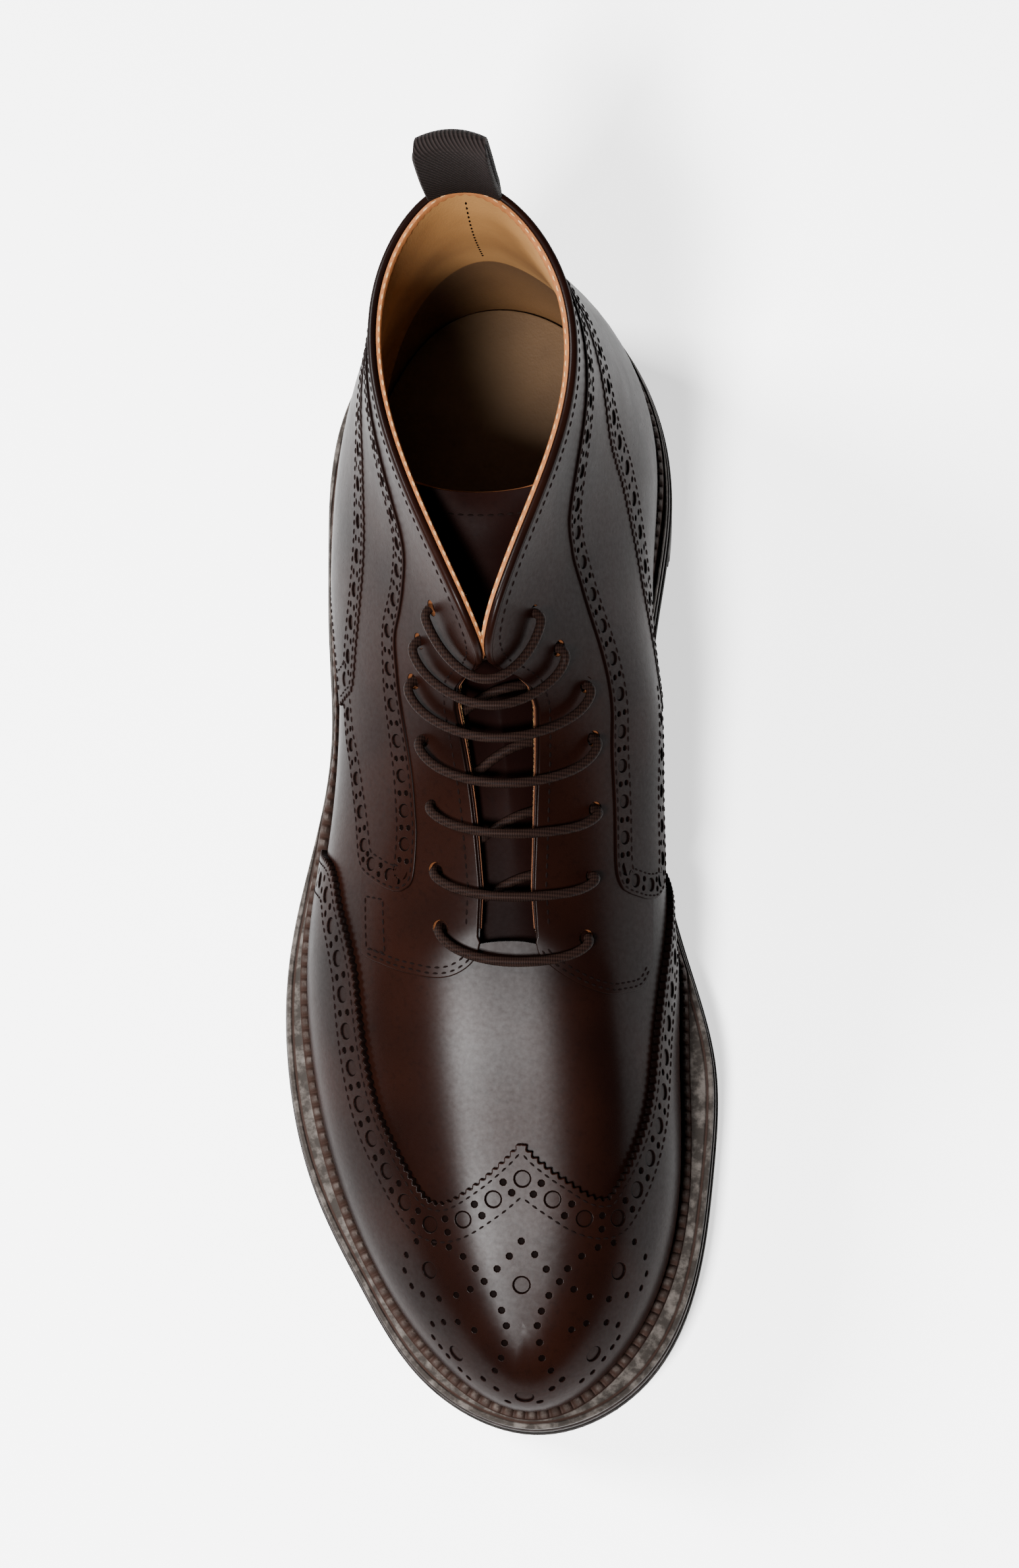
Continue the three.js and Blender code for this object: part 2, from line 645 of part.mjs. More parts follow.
function makeHeelLift() {
  const plate = slab({
    from: heelStation,
    rungs: 10,
    across: 4,
    bow: heelBreast,
    edge: (t) => weltWidth(t) - 2 * soleStep,
    top: () => liftThickness,
    bottom: () => liftTread,
  });
  const face = () => 0;
  const root = () => (liftTread + liftThickness) / 2;
  const lugHalf = 0.27;
  const firstLug = heelStation + 0.45;
  const edges = steps(firstLug, full - firstLug, 8).map((t) => (
    edgeLug(t - lugHalf, t + lugHalf, treadDepth, face, root, 2 * soleStep + treadGap)));
  const [padLateral, padMedial, padHalf] = [-0.2, 0.16, 0.025];
  const centre = [0.19, 0.105].map((share) => {
    const at = (across, along) => place(across * ballWidth, along * soleLength, 0);
    const [back, front] = [share - padHalf, share + padHalf];
    return lug([at(padLateral, front), at(padMedial, front), at(padMedial, back), at(padLateral, back)], face, root);
  });
  return union([plate, ...edges, ...centre]);
}

// Lace and pull loop

// A path whose rings lie on its own points, so that bends are fine and straight runs are long
class RingPath extends THREE.CatmullRomCurve3 {
  getUtoTmapping(u) {
    return u;
  }
}

function tube(points, diameter) {
  const section = new THREE.Shape(steps(0, 1, 6).slice(0, -1).map((f) => (
    new THREE.Vector2(Math.cos(2 * Math.PI * f), Math.sin(2 * Math.PI * f)).multiplyScalar(diameter / 2))));
  const path = new RingPath(points, false, 'centripetal');
  return solidOfGeometry(new THREE.ExtrudeGeometry(section, {
    steps: points.length - 1,
    extrudePath: path,
    bevelEnabled: false,
  }));
}

// Stations where the bars cross the ridge: they hang lower than their eyelets
const barStations = [7.45, 6.85, 6.4, 5.78, 5.2, 4.55, 3.9];

// Point over or under the ridge, set off far enough to clear both sides where the ridge is sharp
function crest(station, level) {
  const halves = [station, full - station];
  const [left, right] = halves.map((t) => upperNormal(t, 1));
  const normal = left.clone().add(right).normalize();
  const ridge = upperPoint(halves[0], 1).add(upperPoint(halves[1], 1)).multiplyScalar(0.5);
  return ridge.addScaledVector(normal, level / Math.max(0.4, left.dot(normal)));
}

// Lace: a bar over each pair of eyelets, down through both, and a slanting run under to the next pair
function makeLace() {
  const r = laceDiameter / 2;
  const over = overlayOut + laceClearance + barSlack + r;
  const under = -upperWall - laceClearance - r;
  const bend = 1.9;
  const eyeletOn = (side, k) => {
    const [t, share] = eyelets[side][k];
    const station = side === 'lateral' ? t : full - t;
    return { side, t, share, point: upperPoint(station, share), normal: upperNormal(station, share) };
  };
  const toward = (eyelet, ridgeStation, f, level) => {
    const t = mix(eyelet.t, ridgeStation, f);
    return offUpper(eyelet.side === 'lateral' ? t : full - t, mix(eyelet.share, 1, f), level);
  };
  const arc = (eyelet, aim, level, sign) => [0, 45, 90].map((degrees) => {
    const turn = THREE.MathUtils.degToRad(degrees);
    const flat = aim.clone().sub(eyelet.point).projectOnPlane(eyelet.normal).normalize();
    return eyelet.point.clone()
      .addScaledVector(flat, bend * (1 - Math.sin(turn)))
      .addScaledVector(eyelet.normal, level - sign * bend * (1 - Math.cos(turn)));
  });
  // From one eyelet to another on the other side, across the ridge at a station
  const run = (from, to, ridgeStation, level, sign) => {
    const [leave, arrive] = [from, to].map((eyelet) => toward(eyelet, ridgeStation, 0.5, level));
    return [
      ...arc(from, leave, level, sign).reverse(),
      leave,
      crest(ridgeStation, level),
      arrive,
      ...arc(to, arrive, level, sign),
    ];
  };
  const points = eyelets.lateral.flatMap((unused, k) => {
    const [left, right] = sides.map((side) => eyeletOn(side, k));
    const bar = run(left, right, barStations[k], over, 1);
    if (k + 1 === eyelets.lateral.length) return bar;
    const next = eyeletOn('lateral', k + 1);
    return [...bar, ...run(right, next, (right.t + next.t) / 2, under, -1)];
  });
  return tube(points, laceDiameter);
}

// Pull loop: a strap up the outside of the back seam, folded over and down just inside the collar
function makePullLoop() {
  const back = stations[half];
  const top = place(back.topLateral * ballWidth, back.topAlong * soleLength, back.topHigh * collarHeight);
  const legOut = overlayOut + seam + strapThickness / 2;
  const legIn = upperWall + 3 * seam + strapThickness / 2;
  const lean = 0.08;
  const hug = 17;
  const rows = [
    [legOut - 1, -18], [legOut, -6], [legOut + 0.3, 2], [legOut + 1.9, strapRise * 0.5],
    [legOut + 2.9, strapRise * 0.86], [legOut + 1.7, strapRise], [legOut + 1.7 - strapGap * 0.6, strapRise],
    [legOut + 2.3 - strapGap, strapRise * 0.86], [-legIn * 0.6, strapRise * 0.4], [-legIn - 1.8, 2], [-legIn - 2.8, -5],
  ];
  const middle = new THREE.CatmullRomCurve3(rows.map(([out, high]) => new THREE.Vector3(0, out, high)));
  const sheet = new Sheet();
  const columns = steps(0, 1, 18).map((f) => {
    const at = middle.getPoint(f);
    const run = middle.getTangent(f);
    const normal = new THREE.Vector3(0, run.z, -run.y).normalize();
    return steps(-0.5, 0.5, 4).map((side) => {
      const across = side * strapWidth;
      const centre = top.clone().add(new THREE.Vector3(
        across - lean * Math.max(0, at.z),
        at.y - across * across / (2 * hug),
        at.z,
      ));
      const id = sheet.pair(
        centre.clone().addScaledVector(normal, strapThickness / 2),
        centre.clone().addScaledVector(normal, -strapThickness / 2),
      );
      return { id, share: side };
    });
  });
  return sheet.grid(columns).solid();
}

// Scene graph

const leather = { color: 0x32191a, roughness: 0.32 };
const rubber = { color: 0x2a2523, roughness: 0.8 };
const group = new THREE.Group();

function addPart(name, solid, look) {
  const mesh = solid.getMesh();
  const geometry = new THREE.BufferGeometry();
  const positions = new Float32Array(3 * mesh.numVert);
  for (let k = 0; k < mesh.numVert; k += 1) {
    for (let axis = 0; axis < 3; axis += 1) positions[3 * k + axis] = mesh.vertProperties[mesh.numProp * k + axis];
  }
  geometry.setAttribute('position', new THREE.BufferAttribute(positions, 3));
  geometry.setIndex(new THREE.BufferAttribute(new Uint32Array(mesh.triVerts), 1));
  const part = new THREE.Mesh(geometry, new THREE.MeshStandardMaterial({ metalness: 0, ...look }));
  part.name = name;
  group.add(part);
}

addPart('upper', makeUpper(), leather);
addPart('wing_cap', makeWing(), leather);
addPart('heel_counter', makeCounter(), leather);
sides.forEach((side) => {
  addPart(`quarter_${side}`, makeQuarter(side), leather);
  addPart(`facing_${side}`, makeFacing(side), leather);
});
addPart('tongue', makeTongue(), leather);
addPart('insole', makeInsole(), { color: 0x8a5a2c, roughness: 0.7 });
addPart('welt', makeWelt(), { color: 0x3a322e, roughness: 0.75 });
addPart('midsole', makeMidsole(), { color: 0x2b2422, roughness: 0.75 });
addPart('outsole', makeOutsole(), rubber);
addPart('heel_stack', makeHeelStack(), { color: 0x2b2422, roughness: 0.7 });
addPart('heel_lift', makeHeelLift(), rubber);
addPart('lace', makeLace(), { color: 0x2a1c18, roughness: 0.5 });
addPart('pull_loop', makePullLoop(), { color: 0x2c2424, roughness: 0.9 });

export default group;
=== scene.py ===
# Looks of the lace-up wingtip boot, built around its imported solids.
import math

import bmesh
import bpy
import numpy as np
from mathutils import Matrix, Vector
from mathutils.geometry import delaunay_2d_cdt


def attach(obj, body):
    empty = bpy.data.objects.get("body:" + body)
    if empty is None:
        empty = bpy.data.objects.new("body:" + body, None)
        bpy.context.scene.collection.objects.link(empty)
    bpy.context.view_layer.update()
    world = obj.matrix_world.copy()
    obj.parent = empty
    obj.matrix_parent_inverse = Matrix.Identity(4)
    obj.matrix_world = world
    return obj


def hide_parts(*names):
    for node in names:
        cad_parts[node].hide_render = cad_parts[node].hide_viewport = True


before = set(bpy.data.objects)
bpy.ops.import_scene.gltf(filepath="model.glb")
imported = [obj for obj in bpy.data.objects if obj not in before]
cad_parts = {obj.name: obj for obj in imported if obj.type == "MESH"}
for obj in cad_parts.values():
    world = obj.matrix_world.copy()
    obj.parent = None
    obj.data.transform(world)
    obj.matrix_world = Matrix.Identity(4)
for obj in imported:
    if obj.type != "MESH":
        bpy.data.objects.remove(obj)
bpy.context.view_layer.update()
print("frame loaded")

# Camera: the photo's angle to the boot, with the boot alone in the middle of the picture.
# place is in mm; across and down turn the view from the photo's centre to the boot, as slopes
photoView = {"place": (74.0, -220.0, 1150.0), "fall": 75.5, "across": -0.0625, "down": 0.0455,
             "focal": 6560.0, "pictureHeight": 2380, "sensor": 36.0}


# Looks down by the fall and aside, so that the boot sits in the middle of the picture
def makeCamera(view):
    fall = math.radians(view["fall"])
    forward = Vector((0, math.cos(fall), -math.sin(fall)))
    right = Vector((1, 0, 0))
    up = right.cross(forward)
    aim = (forward + right * view["across"] - up * view["down"]).normalized()
    side = (right - aim * right.dot(aim)).normalized()
    top = side.cross(aim)
    data = bpy.data.cameras.new("photoCamera")
    data.sensor_width = view["sensor"]
    data.lens = view["focal"] / view["pictureHeight"] * view["sensor"]
    data.clip_start, data.clip_end = 0.05, 20
    camera = bpy.data.objects.new("photoCamera", data)
    bpy.context.scene.collection.objects.link(camera)
    turn = Matrix((side, top, -aim)).transposed().to_4x4()
    camera.matrix_world = Matrix.Translation(Vector(view["place"]) / 1000) @ turn
    bpy.context.scene.camera = camera


makeCamera(photoView)

# The last, in mm. Stations run 0 at the toe to 12 at the back of the heel on the outer side and on to
# 24 on the inner side; a height of 0 is the feather line and 1 the ridge or the collar
last = {"soleLength": 308.0, "ballWidth": 115.0, "collarHeight": 152.0, "heelRise": 38.0, "foreRise": 17.5,
        "toeSpring": 10.0, "archBack": 0.227, "archFront": 0.617, "springStart": 0.753, "wall": 2.0,
        "featherGap": 0.6, "throat": 4.05, "sideShift": 1.38, "edgeGap": 0.004}
half, full = 12, 24

# Columns: along, lateral, medial, topAlong, topHigh, topLateral, topMedial, bellyLateral, bellyMedial,
# bellyHigh, reachLateral, reachMedial, reachAlong, reachDown, weltLateral, weltMedial
stationRows = np.array([
    [0.976, 0.078, 0.078, 0.912, 0.395, 0.074, 0.074, 0.043, 0.043, 0.62, 0, 0, 0.049, 0.014, 0.068, 0.068],
    [0.938, -0.113, 0.252, 0.854, 0.428, 0.074, 0.074, 0.039, 0.039, 0.62, -0.148, 0.148, 0.026, 0.011, 0.081, 0.094],
    [0.864, -0.261, 0.357, 0.782, 0.461, 0.07, 0.07, 0.03, 0.026, 0.6, -0.209, 0.183, 0.01, 0.004, 0.074, 0.09],
    [0.776, -0.365, 0.391, 0.701, 0.497, 0.061, 0.061, 0.026, 0.026, 0.58, -0.235, 0.183, 0, 0, 0.087, 0.09],
    [0.682, -0.422, 0.387, 0.62, 0.549, 0.052, 0.052, 0.026, 0.026, 0.55, -0.235, 0.165, 0, 0, 0.087, 0.098],
    [0.591, -0.435, 0.374, 0.542, 0.612, 0.048, 0.048, 0.026, 0.065, 0.5, -0.217, 0.157, 0, 0.007, 0.075, 0.045],
    [0.503, -0.4, 0.322, 0.474, 0.684, 0.035, 0.035, 0.035, 0.148, 0.45, -0.191, 0.174, 0, 0.033, 0.059, 0.037],
    [0.412, -0.374, 0.296, 0.427, 0.796, 0.01, 0.024, 0.039, 0.187, 0.42, -0.157, 0.157, -0.016, 0.079, 0.04, 0.038],
    [0.321, -0.374, 0.287, 0.412, 0.928, 0.002, 0.016, 0.039, 0.152, 0.38, -0.13, 0.13, -0.039, 0.158, 0.044, 0.056],
    [0.231, -0.37, 0.317, 0.334, 0.98, -0.096, 0.091, 0.039, 0.078, 0.36, -0.061, 0.061, -0.013, 0.224, 0.052, 0.06],
    [0.14, -0.33, 0.309, 0.221, 0.974, -0.209, 0.187, 0.035, 0.043, 0.36, -0.035, 0.035, 0, 0.237, 0.073, 0.054],
    [0.055, -0.209, 0.183, 0.11, 0.984, -0.204, 0.157, 0.039, 0.039, 0.34, -0.009, 0.009, 0.013, 0.25, 0.068, 0.06],
    [0.024, -0.022, -0.022, 0.047, 1, -0.035, -0.035, 0.043, 0.043, 0.33, 0, 0, 0.019, 0.25, 0.065, 0.065],
])


# Vectors divided by their lengths
def unit(vectors):
    return vectors / np.maximum(1e-9, np.linalg.norm(vectors, axis=-1))[..., None]


# Soft step from 0 to 1
def smooth(share):
    return share**2 * (3 - 2 * share)


# Distance run along a row of points
def travelled(points):
    return np.concatenate([[0], np.cumsum(np.linalg.norm(np.diff(points, axis=0), axis=1))])


# Catmull-Rom curve through whole rows of numbers or points
def throughRows(rows, steps):
    rows = np.asarray(rows, float)
    ends = np.concatenate([2 * rows[:1] - rows[1:2], rows, 2 * rows[-1:] - rows[-2:-1]])
    f = np.linspace(0, 1, steps + 1)[:-1].reshape(-1, *[1] * (rows.ndim - 1))
    parts = [0.5 * (2 * b + (c - a) * f + (2 * a - 5 * b + 4 * c - d) * f**2 + (3 * b - a - 3 * c + d) * f**3)
             for a, b, c, d in zip(ends, ends[1:], ends[2:], ends[3:])]
    return np.concatenate(parts + [rows[-1:]])


# Quads between the rows of a grid of points. Closed joins the last row to the first, around joins
# the last point of each row to its first
def gridFaces(count, corners, closed=False, around=True):
    k = np.arange(count if closed else count - 1)[:, None]
    j = np.arange(corners if around else corners - 1)[None]
    here, there, beside = k * corners, (k + 1) % count * corners, (j + 1) % corners
    return np.stack(np.broadcast_arrays(here + j, here + beside, there + beside, there + j), -1).reshape(-1, 4)


# Point from its distances across and back from the toe tip, and its height
def place(across, along, high):
    return np.stack([across + last["sideShift"], last["soleLength"] / 2 - along, high], -1)


# Height of the welt's top: a soft step from the heel down to the ball, then the toe spring
def weltTop(along):
    share = along / last["soleLength"]
    fall = np.clip((share - last["archBack"]) / (last["archFront"] - last["archBack"]), 0, 1)
    rise = np.maximum(0, (share - last["springStart"]) / (1 - last["springStart"]))
    step = last["heelRise"] + (last["foreRise"] - last["heelRise"]) * smooth(fall)
    return step + last["toeSpring"] * rise**1.7


# The outer side from toe to heel, then the inner side back, without the ends twice
def bothHalves(lateral, medial):
    return np.concatenate([lateral, medial[-2:0:-1]])


# Control points of the closed cubic B-spline that passes through the given points
def throughPoints(points):
    control = points.copy()
    for _ in range(60):
        control = (6 * points - np.roll(control, 1, 0) - np.roll(control, -1, 0)) / 4
    return control


# The closed cubic B-spline at stations t
def onLoop(control, t):
    t = np.asarray(t, float)
    k = np.floor(t).astype(int)
    f = (t - k)[..., None]
    count = len(control)
    return ((1 - f)**3 * control[(k - 1) % count] + (3 * f**3 - 6 * f**2 + 4) * control[k % count]
            + (-3 * f**3 + 3 * f**2 + 3 * f + 1) * control[(k + 1) % count] + f**3 * control[(k + 2) % count]) / 6


# Loops at the feather line, belly, reach and top, and the widths of the welt
def lastLoops(rows):
    (along, lateral, medial, topAlong, topHigh, topLateral, topMedial, bellyLateral, bellyMedial, bellyHigh,
     reachLateral, reachMedial, reachAlong, reachDown, weltLateral, weltMedial) = rows.T
    length, width, tall = last["soleLength"], last["ballWidth"], last["collarHeight"]
    foot = weltTop(along * length) + last["featherGap"]
    feather = bothHalves(*(place(across * width, along * length, foot) for across in (lateral, medial)))
    top = bothHalves(*(place(across * width, topAlong * length, topHigh * tall)
                       for across in (topLateral, topMedial)))
    featherLoop = throughPoints(feather)
    stations = np.arange(full)
    run = onLoop(featherLoop, stations + 1e-3) - onLoop(featherLoop, stations - 1e-3)
    out = unit(np.stack([-run[:, 1], run[:, 0], 0 * run[:, 0]], -1))
    belly = feather + out * bothHalves(bellyLateral, bellyMedial)[:, None] * width
    belly[:, 2] += bothHalves(bellyHigh, bellyHigh) * (top[:, 2] - feather[:, 2])
    reach = top + bothHalves(*(np.stack([across * width, -reachAlong * length, -reachDown * tall], -1)
                               for across in (reachLateral, reachMedial)))
    welt = throughPoints(bothHalves(weltLateral, weltMedial)[:, None] * width)
    return featherLoop, [featherLoop, throughPoints(belly), throughPoints(reach), throughPoints(top)], welt


featherLoop, upperLoops, weltWidths = lastLoops(stationRows)


# Past the ridge in front of the throat a point belongs to the other half
def folded(t, a):
    t, a = np.broadcast_arrays(np.asarray(t, float), np.asarray(a, float))
    wrapped = (t + half) % full - half
    over = (a > 1) & (np.abs(wrapped) < last["throat"])
    return np.where(over, -t, t), np.where(over, 2 - a, a)


# Outer face of the upper: a cubic over the feather, belly, reach and top loops at every station
def face(t, a):
    t, a = folded(t, a)
    feather, belly, reach, top = [onLoop(loop, t) for loop in upperLoops]
    a = a[..., None]
    return (1 - a)**3 * feather + 3 * a * (1 - a)**2 * belly + 3 * a**2 * (1 - a) * reach + a**3 * top


# How the surface moves with station and with height, from small steps to both sides
def slopes(t, a, nudge=2e-3):
    t, a = np.broadcast_arrays(np.asarray(t, float), np.asarray(a, float))
    low, high = np.maximum(0, a - nudge), np.where(a < 1, np.minimum(1, a + nudge), a + nudge)
    around = (face(t + nudge, a) - face(t - nudge, a)) / (2 * nudge)
    rise = (face(t, high) - face(t, low)) / (high - low)[..., None]
    return around, rise


# Outward direction: square to both slopes
def rawNormal(t, a):
    t, a = folded(t, a)
    around, rise = slopes(t, np.clip(a, 0, 1), 8e-3)
    return unit(np.cross(rise, around))


# Outward direction, evened out over the ridge so that the toe's two halves meet softly
def faceNormal(t, a):
    t, a = folded(t, a)
    normal = rawNormal(t, a)
    wrapped = (t + half) % full - half
    near = np.clip((a - 0.5) / 0.5, 0, 1) * np.clip((last["throat"] + 0.3 - np.abs(wrapped)) / 0.3, 0, 1)
    ridge = unit(rawNormal(t, 1.0 + 0 * a) + rawNormal(-t, 1.0 + 0 * a))
    soft = smooth(near)[..., None]
    return unit(normal * (1 - soft) + ridge * soft)


# Points for rows of station and height
def pointsOf(ta):
    return face(ta[..., 0], ta[..., 1])


# Outward directions for such rows
def normalsOf(ta):
    return faceNormal(ta[..., 0], ta[..., 1])


# Stations and heights of points that lie a step away in space, by least squares on the surface
def onFace(ta, step):
    target = pointsOf(ta) + step
    out = ta.copy()
    for _ in range(4):
        gap = target - pointsOf(out)
        pt, pa = slopes(out[..., 0], out[..., 1])
        tt, aa, cross = (pt * pt).sum(-1), (pa * pa).sum(-1), (pt * pa).sum(-1)
        bt, ba = (pt * gap).sum(-1), (pa * gap).sum(-1)
        whole = np.maximum(1e-6, tt * aa - cross**2)
        out = out + np.stack([(aa * bt - cross * ba) / whole, (tt * ba - cross * bt) / whole], -1)
        out = np.stack(folded(out[..., 0], out[..., 1]), -1)
    return out


# Catmull-Rom curve through rows of station and height, spaced evenly over the surface
def curve(rows, spacing=0.5):
    return evenly(throughRows(rows, 12), spacing)


# The same path with its points at equal distances over the surface
def evenly(path, spacing):
    length = travelled(pointsOf(path))
    at = np.linspace(0, length[-1], max(2, int(round(length[-1] / spacing)) + 1))
    return np.stack([np.interp(at, length, path[:, k]) for k in (0, 1)], -1)


# Points of a path, the direction along it, outwards, and to its left
def pathFrame(path):
    points, normal = pointsOf(path), normalsOf(path)
    run = unit(np.gradient(points, axis=0))
    return points, run, normal, unit(np.cross(normal, run))


# The path moved sideways over the surface, to its left as seen from outside
def sideways(path, distance):
    side = pathFrame(path)[3]
    return onFace(path, side * np.broadcast_to(distance, len(path))[:, None])


# Teeth of a gimped edge: the path swings by a raised cosine
def gimped(path, pitch, depth):
    count = len(path)
    teeth = max(1, round(travelled(pointsOf(path))[-1] / pitch))
    swing = (0.5 - 0.5 * np.cos(2 * np.pi * teeth * np.arange(count) / (count - 1))) * depth
    return sideways(path, swing)


# Which way a panel lies from its edge: 1 to the left of the path, -1 to the right
def insideSign(path, outline, flat):
    trial = sideways(path[len(path) // 4: 3 * len(path) // 4], 1.5)
    return 1 if inside(flat(trial), flat(outline)).mean() > 0.5 else -1


# Places of large holes and of the small pairs between them along a band
def bandHoles(path, spec, sign):
    row = evenly(path, spec["holePitch"] / 2)[1:-1]
    return alongRow(sideways(row, sign * spec["holes"]), spec, 0)


# Large holes at every second place of a row from the first one stated, with small pairs between them
def alongRow(row, spec, first):
    odd = (np.arange(len(row)) + first) % 2 == 1
    big = row[~odd]
    smalls = np.concatenate([sideways(row, shift * spec["pairGap"] / 2)[odd] for shift in (-1, 1)])
    return np.concatenate([big, smalls]), np.repeat([spec["large"], spec["small"]], [len(big), len(smalls)])


# Flat maps that lay a panel's triangles out: the toe is seen from above, the sides are unrolled
def toeMap(ta):
    t, a = folded(ta[..., 0], ta[..., 1])
    foot, ridge = onLoop(upperLoops[0], t)[..., :2], onLoop(upperLoops[3], t)[..., :2]
    return foot * (1 - a)[..., None] + ridge * a[..., None]


def sideMap(ta):
    return ta * np.array([24.0, 100.0])


# Even-odd rule: a line to the right of an inside point crosses the outline an odd number of times
def inside(points, outline):
    x, y = points[:, :1], points[:, 1:]
    px, py = outline.T
    qx, qy = np.roll(outline, -1, 0).T
    level = np.where(np.abs(qy - py) < 1e-12, 1e-12, qy - py)
    crosses = ((py > y) != (qy > y)) & (x < px + (y - py) * (qx - px) / level)
    return crosses.sum(1) % 2 == 1


# Mesh from points in mm, turned to face outwards; marks are one value for each point
def makeMesh(name, points, faces, normals=None, marks=None):
    mesh = bpy.data.meshes.new(name)
    mesh.from_pydata((np.asarray(points) / 1000).tolist(), [], [list(map(int, f)) for part in faces for f in part])
    if marks is not None:
        layer = mesh.attributes.new("mark", "FLOAT", "POINT")
        layer.data.foreach_set("value", np.asarray(marks, np.float32))
    shape = bmesh.new()
    shape.from_mesh(mesh)
    bmesh.ops.recalc_face_normals(shape, faces=shape.faces)
    shape.to_mesh(mesh)
    shape.free()
    mesh.shade_smooth()
    if normals is None:
        mesh.set_sharp_from_angle(angle=math.radians(42))
    else:
        mesh.normals_split_custom_set_from_vertices(unit(np.asarray(normals)).tolist())
    piece = bpy.data.objects.new(name, mesh)
    bpy.context.scene.collection.objects.link(piece)
    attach(piece, "root")
    print(name, len(mesh.polygons), "faces")
    return piece


# Material of a piece, and the nodes whose place it takes; the slot's name is not used
def finish(piece, material, slotName, *nodes):
    piece.data.materials.append(material)
    if nodes:
        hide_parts(*nodes)


# Cut leather in mm: the rounded edge, the wide hole from its radius on, the rim round each hole and
# how far its wall leans in. A hole's floor is the width of its ring of painted shade, mark how much
# shade is painted on its middle
cut = {"grid": 0.15, "bevel": 0.35, "wideFrom": 1.2, "rim": 0.2, "lip": 0.22, "lean": 0.1,
       "wide": {"sides": 16, "floor": 0.3, "mark": 0.42}, "narrow": {"sides": 8, "floor": 0.05, "mark": 0.85}}


